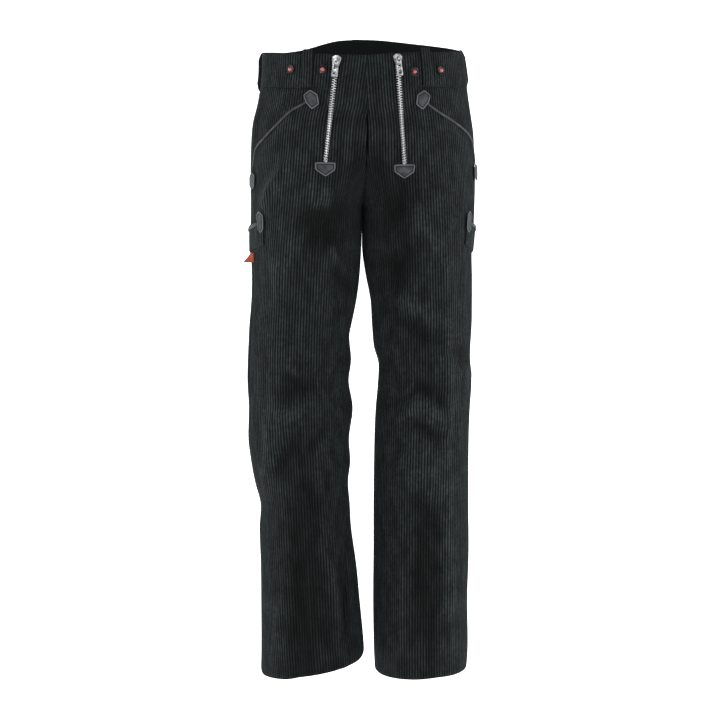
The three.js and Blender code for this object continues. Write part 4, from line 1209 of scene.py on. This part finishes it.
def buildSlider(side):
    s, b = slider, bridge
    shoulder = s["up"] - s["shoulder"]
    half = [(s["waist"], -s["down"]), (s["waist"] + 0.6, -s["down"] + 1), (s["half"], shoulder - 4),
            (s["half"], shoulder), (s["crown"], s["up"])]
    body = cutPlate(f"slider_{side}", mirrored(half))
    thicken(body, s["high"] - s["low"])
    body.data.transform(Matrix.Translation((0, 0, s["low"] / 1000)))
    bevel(body, 0.6, 3)
    top = s["high"] + 2 * b["clear"] + b["wall"]
    reach = b["inner"] + b["wall"]
    arch = boxPiece("arch", (-b["half"], -reach, s["high"] - 0.6), (b["half"], reach, top))
    editStart(arch)
    bpy.ops.mesh.subdivide(number_cuts=5)
    editEnd()
    co = coordinates(arch) * 1000
    bowed = np.clip((co[:, 2] - s["high"]) / (top - s["high"]), 0, 1)
    co[:, 1] *= np.sqrt(1 - 0.45 * bowed**2)
    co[:, 2] = np.where(bowed > 0, co[:, 2] - 0.5 * (co[:, 1] / 3.4) ** 2 * bowed, co[:, 2])
    arch.data.vertices.foreach_set("co", (co / 1000).ravel())
    roof = s["high"] + 2 * b["clear"]
    cutOut(arch, boxPiece("window", (-4, -b["inner"], s["high"]), (4, b["inner"], roof)))
    bevel(arch, 0.3, 2)
    neck = boxPiece("neck", (-2.25, s["up"] - 4.4, -2.6), (2.25, s["up"] - 0.4, 2.4))
    rail = boxPiece("rail", (-0.8, -8, s["high"] - 0.3), (0.8, -3.6, s["high"] + 0.7))
    bevel(rail, 0.4, 2)
    onlySelect(body)
    for other in (arch, neck, rail):
        other.select_set(True)
    bpy.ops.object.join()
    finishMetal(body, sliderAt(side), nickel)
    ridesOn(body, "zip_metal", f"zip_slider_{side}")


def finishMetal(piece, where, finish):
    piece.data.transform(where)
    piece.data.materials.clear()
    piece.data.materials.append(finish)
    smooth(piece, 35)


def buildPull(side):
    p = pull
    half = [(p["foot"] - p["bevel"], -p["length"]), (p["foot"], -p["length"] + p["bevel"]),
            (p["half"], p["bar"] - 1), (p["half"] - 1, p["bar"])]
    piece = cutPlate(f"pull_tab_{side}", mirrored(half))
    thicken(piece, p["thick"])
    piece.data.transform(Matrix.Translation((0, 0, -p["thick"] / 2000)))
    cutOut(piece, boxPiece("window", *p["window"]))
    slot = boxPiece("slot", *p["slot"])
    bevel(slot, 0.9, 4)
    cutOut(piece, slot)
    middle = (0, (p["eyeUp"] - p["length"]) / 1000, 0)
    cutOut(piece, primitive(bpy.ops.mesh.primitive_cylinder_add, "eye", vertices=32, radius=p["eye"] / 1000,
                            depth=0.01, location=middle))
    bevel(piece, 0.3, 2)
    where = sliderAt(side) @ Matrix.Translation((0, 0, (slider["high"] + bridge["clear"]) / 1000))
    finishMetal(piece, where, nickel)
    ridesOn(piece, "zip_metal", f"zip_pull_{side}", body=f"pull_{side}")


toothParts = toothForm()
for side in legs:
    buildTape(side)
    buildTeeth(side, *toothParts)
    buildSlider(side)
    buildPull(side)
print("zips made")


# Waistband buttons.
button = {"radius": 7.2, "edge": 1.3, "rim": 2.2, "ring": 6.4, "dome": 3.7, "height": 4.4}
buttons = {
    "outer_right": ("right", 43.3, 34.5),
    "inner_right": ("right", 65, 36),
    "inner_left": ("left", 63.7, 39),
    "outer_left": ("left", 45.5, 35.5),
}


def stacked(name, profile):  # a round piece drawn up ring by ring, in millimetres
    radius, height = profile[0]
    piece = primitive(bpy.ops.mesh.primitive_circle_add, name, vertices=40, radius=radius / 1000,
                      fill_type="NGON", location=(0, 0, height / 1000))
    editStart(piece)
    for (r0, z0), (r1, z1) in zip(profile[:-1], profile[1:]):
        bpy.ops.mesh.extrude_region_move(TRANSFORM_OT_translate={"value": (0, 0, (z1 - z0) / 1000)})
        bpy.ops.transform.resize(value=(r1 / r0, r1 / r0, 1), center_override=(0, 0, z1 / 1000))
    editEnd()
    setCoordinates(piece, coordinates(piece))
    return piece


def buildButton(name, side, turn, drop):
    b = button
    where = frameOn(side, radians(turn), drop, bandLift + 0.4)
    ringForm = [(b["radius"] - 0.5, 0), (b["radius"], 0.5), (b["radius"], b["edge"]),
                (b["ring"] + 0.3, b["rim"]), (b["ring"] - 0.6, b["rim"]),
                (b["dome"] + 0.5, b["rim"] - 0.7), (b["dome"], b["rim"] - 0.8)]
    base = stacked(f"button_ring_{name}", ringForm)
    finishMetal(base, where, darkMetal)
    ridesOn(base, "button_metal", f"button_{name}")
    # a thin ring of bright metal on the dark button ring: a painted highlight along its edge
    edge = primitive(bpy.ops.mesh.primitive_torus_add, f"button_highlight_ring_{name}", major_segments=40,
                     minor_segments=8, location=(0, 0, 0.0016), major_radius=b["ring"] / 1000,
                     minor_radius=0.0005)
    finishMetal(edge, where, toothMetal)
    ridesOn(edge, "button_metal")
    rise = b["height"] - b["rim"] + 0.7
    steps = [(b["dome"] * cos(a), b["rim"] - 0.7 + rise * sin(a)) for a in np.linspace(0, pi / 2, 9)[:-1]]
    dome = stacked(f"button_centre_{name}", steps + [(0.15, b["height"])])
    finishMetal(dome, where, redEnamel)
    ridesOn(dome, "button_metal")


for name, (side, turn, drop) in buttons.items():
    buildButton(name, side, turn, drop)
print("buttons made")


# Side tag.
tag = {
    "turn": 19,
    "width": 13,
    "drop": 335.5,
    "length": 15,
    "low": 1.2,
    "stand": 13,
    "thick": 0.9,
    "flat": (22, 19),
}


def buildTag():
    t = np.linspace(0, 1, 15)[:, None]
    across = np.linspace(0, 1, 13)[None, :]
    t, across = np.broadcast_arrays(t, across)
    turn = np.radians(tag["turn"] - tag["width"] * across)
    drop = tag["drop"] + tag["length"] * t
    low = tag["low"] + tag["stand"] * t**1.2 * across**0.7
    columns = list(range(0, 13, 2))
    mesh = ClothMesh()
    inner = cloth("right", turn[:, columns], drop[:, columns], low[:, columns])
    mesh.addGrid(cloth("right", turn, drop, low + tag["thick"]), inner, columns, across * 3, t * 4)
    piece = mesh.make("ribbon_tag", ribbonCloth)
    ridesOn(piece, "tag_cloth", "side_tag")
    width, length = tag["flat"]
    declareSheet(piece, width, length, width * length, ["corduroy_rule_pocket_right"])


buildTag()


# Seams.
seams = {
    "out": 0.42,  # how far the thread stands off the cloth
    "edge": 3.4,
    "bandFoot": 3,
    "zip": 4,
    "hem": 26,
    "side": 4,
    "centre": 4.5,
    "centreFoot": 236,
    "pocket": 3,
}


def buildBandSeams(side):
    shares = np.linspace(-0.98, 0.55, 200)
    for row in (seams["edge"], bandDepth - seams["bandFoot"]):
        drop = row + through(topEdges, "share", side, shares)
        seamStitches(side, shares * pi / 2, drop, bandLift + 0.5)
    rows = np.full(40, seams["edge"])
    turns = frontTurns(side, rows)
    turn = turns[2] + (turns[3] - turns[2]) * np.linspace(0.08, 0.97, 40)
    seamStitches(side, turn, levelAt(side, turn / (pi / 2), rows), 0.45)


def buildZipSeams(side):
    rows = np.linspace(4, footRow(side), 60)
    turns = frontTurns(side, rows)
    for k, way, first in ((1, -1, bandDepth + 3), (2, 1, 0)):
        low = rows >= first
        turn = (turns[k] + way * seams["zip"] / ring(side, rows)[1])[low]
        drop = levelAt(side, turn / ring(side, rows[low])[0], rows[low])
        seamStitches(side, turn, drop, seams["out"])


def buildLegSeams(side):
    shares = np.linspace(-0.99, 0.99, 260)
    level = levelAt(side, shares, np.full(260, hemDrop - float(seams["hem"])))
    seamStitches(side, shares * pi, level, seams["out"])
    rows = np.linspace(62, hemDrop - 4, 400)
    turn = -seamTurn(side, 0, rows) - seams["side"] / ring(side, rows)[1]
    seamStitches(side, turn, levelAt(side, 0 * rows, rows), seams["out"])
    for way, start in ((-1, 60), (1, 6)):
        rows = np.linspace(start, seams["centreFoot"], 90)
        level = levelAt(side, way, rows)
        turn = seamTurn(side, 1, level) - seams["centre"] / ring(side, rows)[1]
        seamStitches(side, way * turn, level, seams["out"])


def buildPocketSeams(side):
    reach, out = radians(rulePocket["reach"]), clothThick + 1.35
    turn = np.linspace(-reach, reach, 60) * 0.95
    seamStitches(side, turn, ruleDrop(turn, 1.0) - seams["pocket"], out)
    share = np.linspace(0.35, 0.95, 14)
    for way in (-1, 1):
        turn = way * (reach - 2.5 / 95) + 0 * share
        seamStitches(side, turn, ruleDrop(turn, share), out)


for side in legs:
    buildBandSeams(side)
    buildZipSeams(side)
    buildLegSeams(side)
    buildPocketSeams(side)
    buildStitches(side)
print("tag, seams and stitches made")


# Stage, light and camera.
stageLook = {
    "floor": -1.6,
    "backdrop": 6,
    "planeSize": 30,
    "glow": 0.8,
    "lampTarget": (0, 0, -0.45),
    "distance": 3.2,
    "azimuth": -4,
    "elevation": 5,
    "target": (-0.003, 0, -0.49),
    "lens": 94.1,
    "sky": 0.55,
    "lamps": [
        ("key", (-1.5, -3.0, 1.7), 1.4, 60),
        ("fill", (1.9, -2.8, 0.6), 1.6, 45),
        ("left_edge", (-2.4, 0.2, 0.2), 1.2, 40),
        ("right_edge", (2.4, 0.2, 0.2), 1.2, 40),
    ],
}


def aim(thing, target):
    thing.rotation_euler = (Vector(target) - thing.location).to_track_quat("-Z", "Y").to_euler()


def lamp(name, place, target, size, energy):
    data = bpy.data.lights.new(name, "AREA")
    data.shape, data.size, data.energy = "DISK", size, energy
    light = bpy.data.objects.new(name, data)
    bpy.context.scene.collection.objects.link(light)
    light.location = place
    aim(light, target)


def studioPlane(name, place, tilt, paint):
    add = bpy.ops.mesh.primitive_plane_add
    plane = primitive(add, name, size=stageLook["planeSize"], location=place, rotation=(tilt, 0, 0))
    plane.data.materials.append(paint)


def setStage():
    white = (1, 1, 1, 1)
    paint = Finish("studio_paint").set(colour=(0.92, 0.92, 0.92, 1), rough=0.9, glow=white,
                                       glowStrength=stageLook["glow"])
    studioPlane("floor", (0, 0, stageLook["floor"]), 0, paint)
    studioPlane("backdrop", (0, stageLook["backdrop"], 0), pi / 2, paint)
    world = bpy.data.worlds.new("studio")
    bpy.context.scene.world = world
    world.use_nodes = True
    world.node_tree.nodes["Background"].inputs[0].default_value = white
    world.node_tree.nodes["Background"].inputs[1].default_value = stageLook["sky"]
    bpy.context.scene.view_settings.view_transform = "Standard"
    for name, place, size, energy in stageLook["lamps"]:
        lamp(name, place, stageLook["lampTarget"], size, energy)
    a, e = radians(stageLook["azimuth"]), radians(stageLook["elevation"])
    camera = bpy.data.objects.new("camera", bpy.data.cameras.new("camera"))
    bpy.context.scene.collection.objects.link(camera)
    camera.data.lens = stageLook["lens"]
    way = Vector((sin(a) * cos(e), -cos(a) * cos(e), sin(e)))
    camera.location = Vector(stageLook["target"]) + way * stageLook["distance"]
    aim(camera, stageLook["target"])
    bpy.context.scene.camera = camera


setStage()
print("stage set")

bpy.context.view_layer.update()
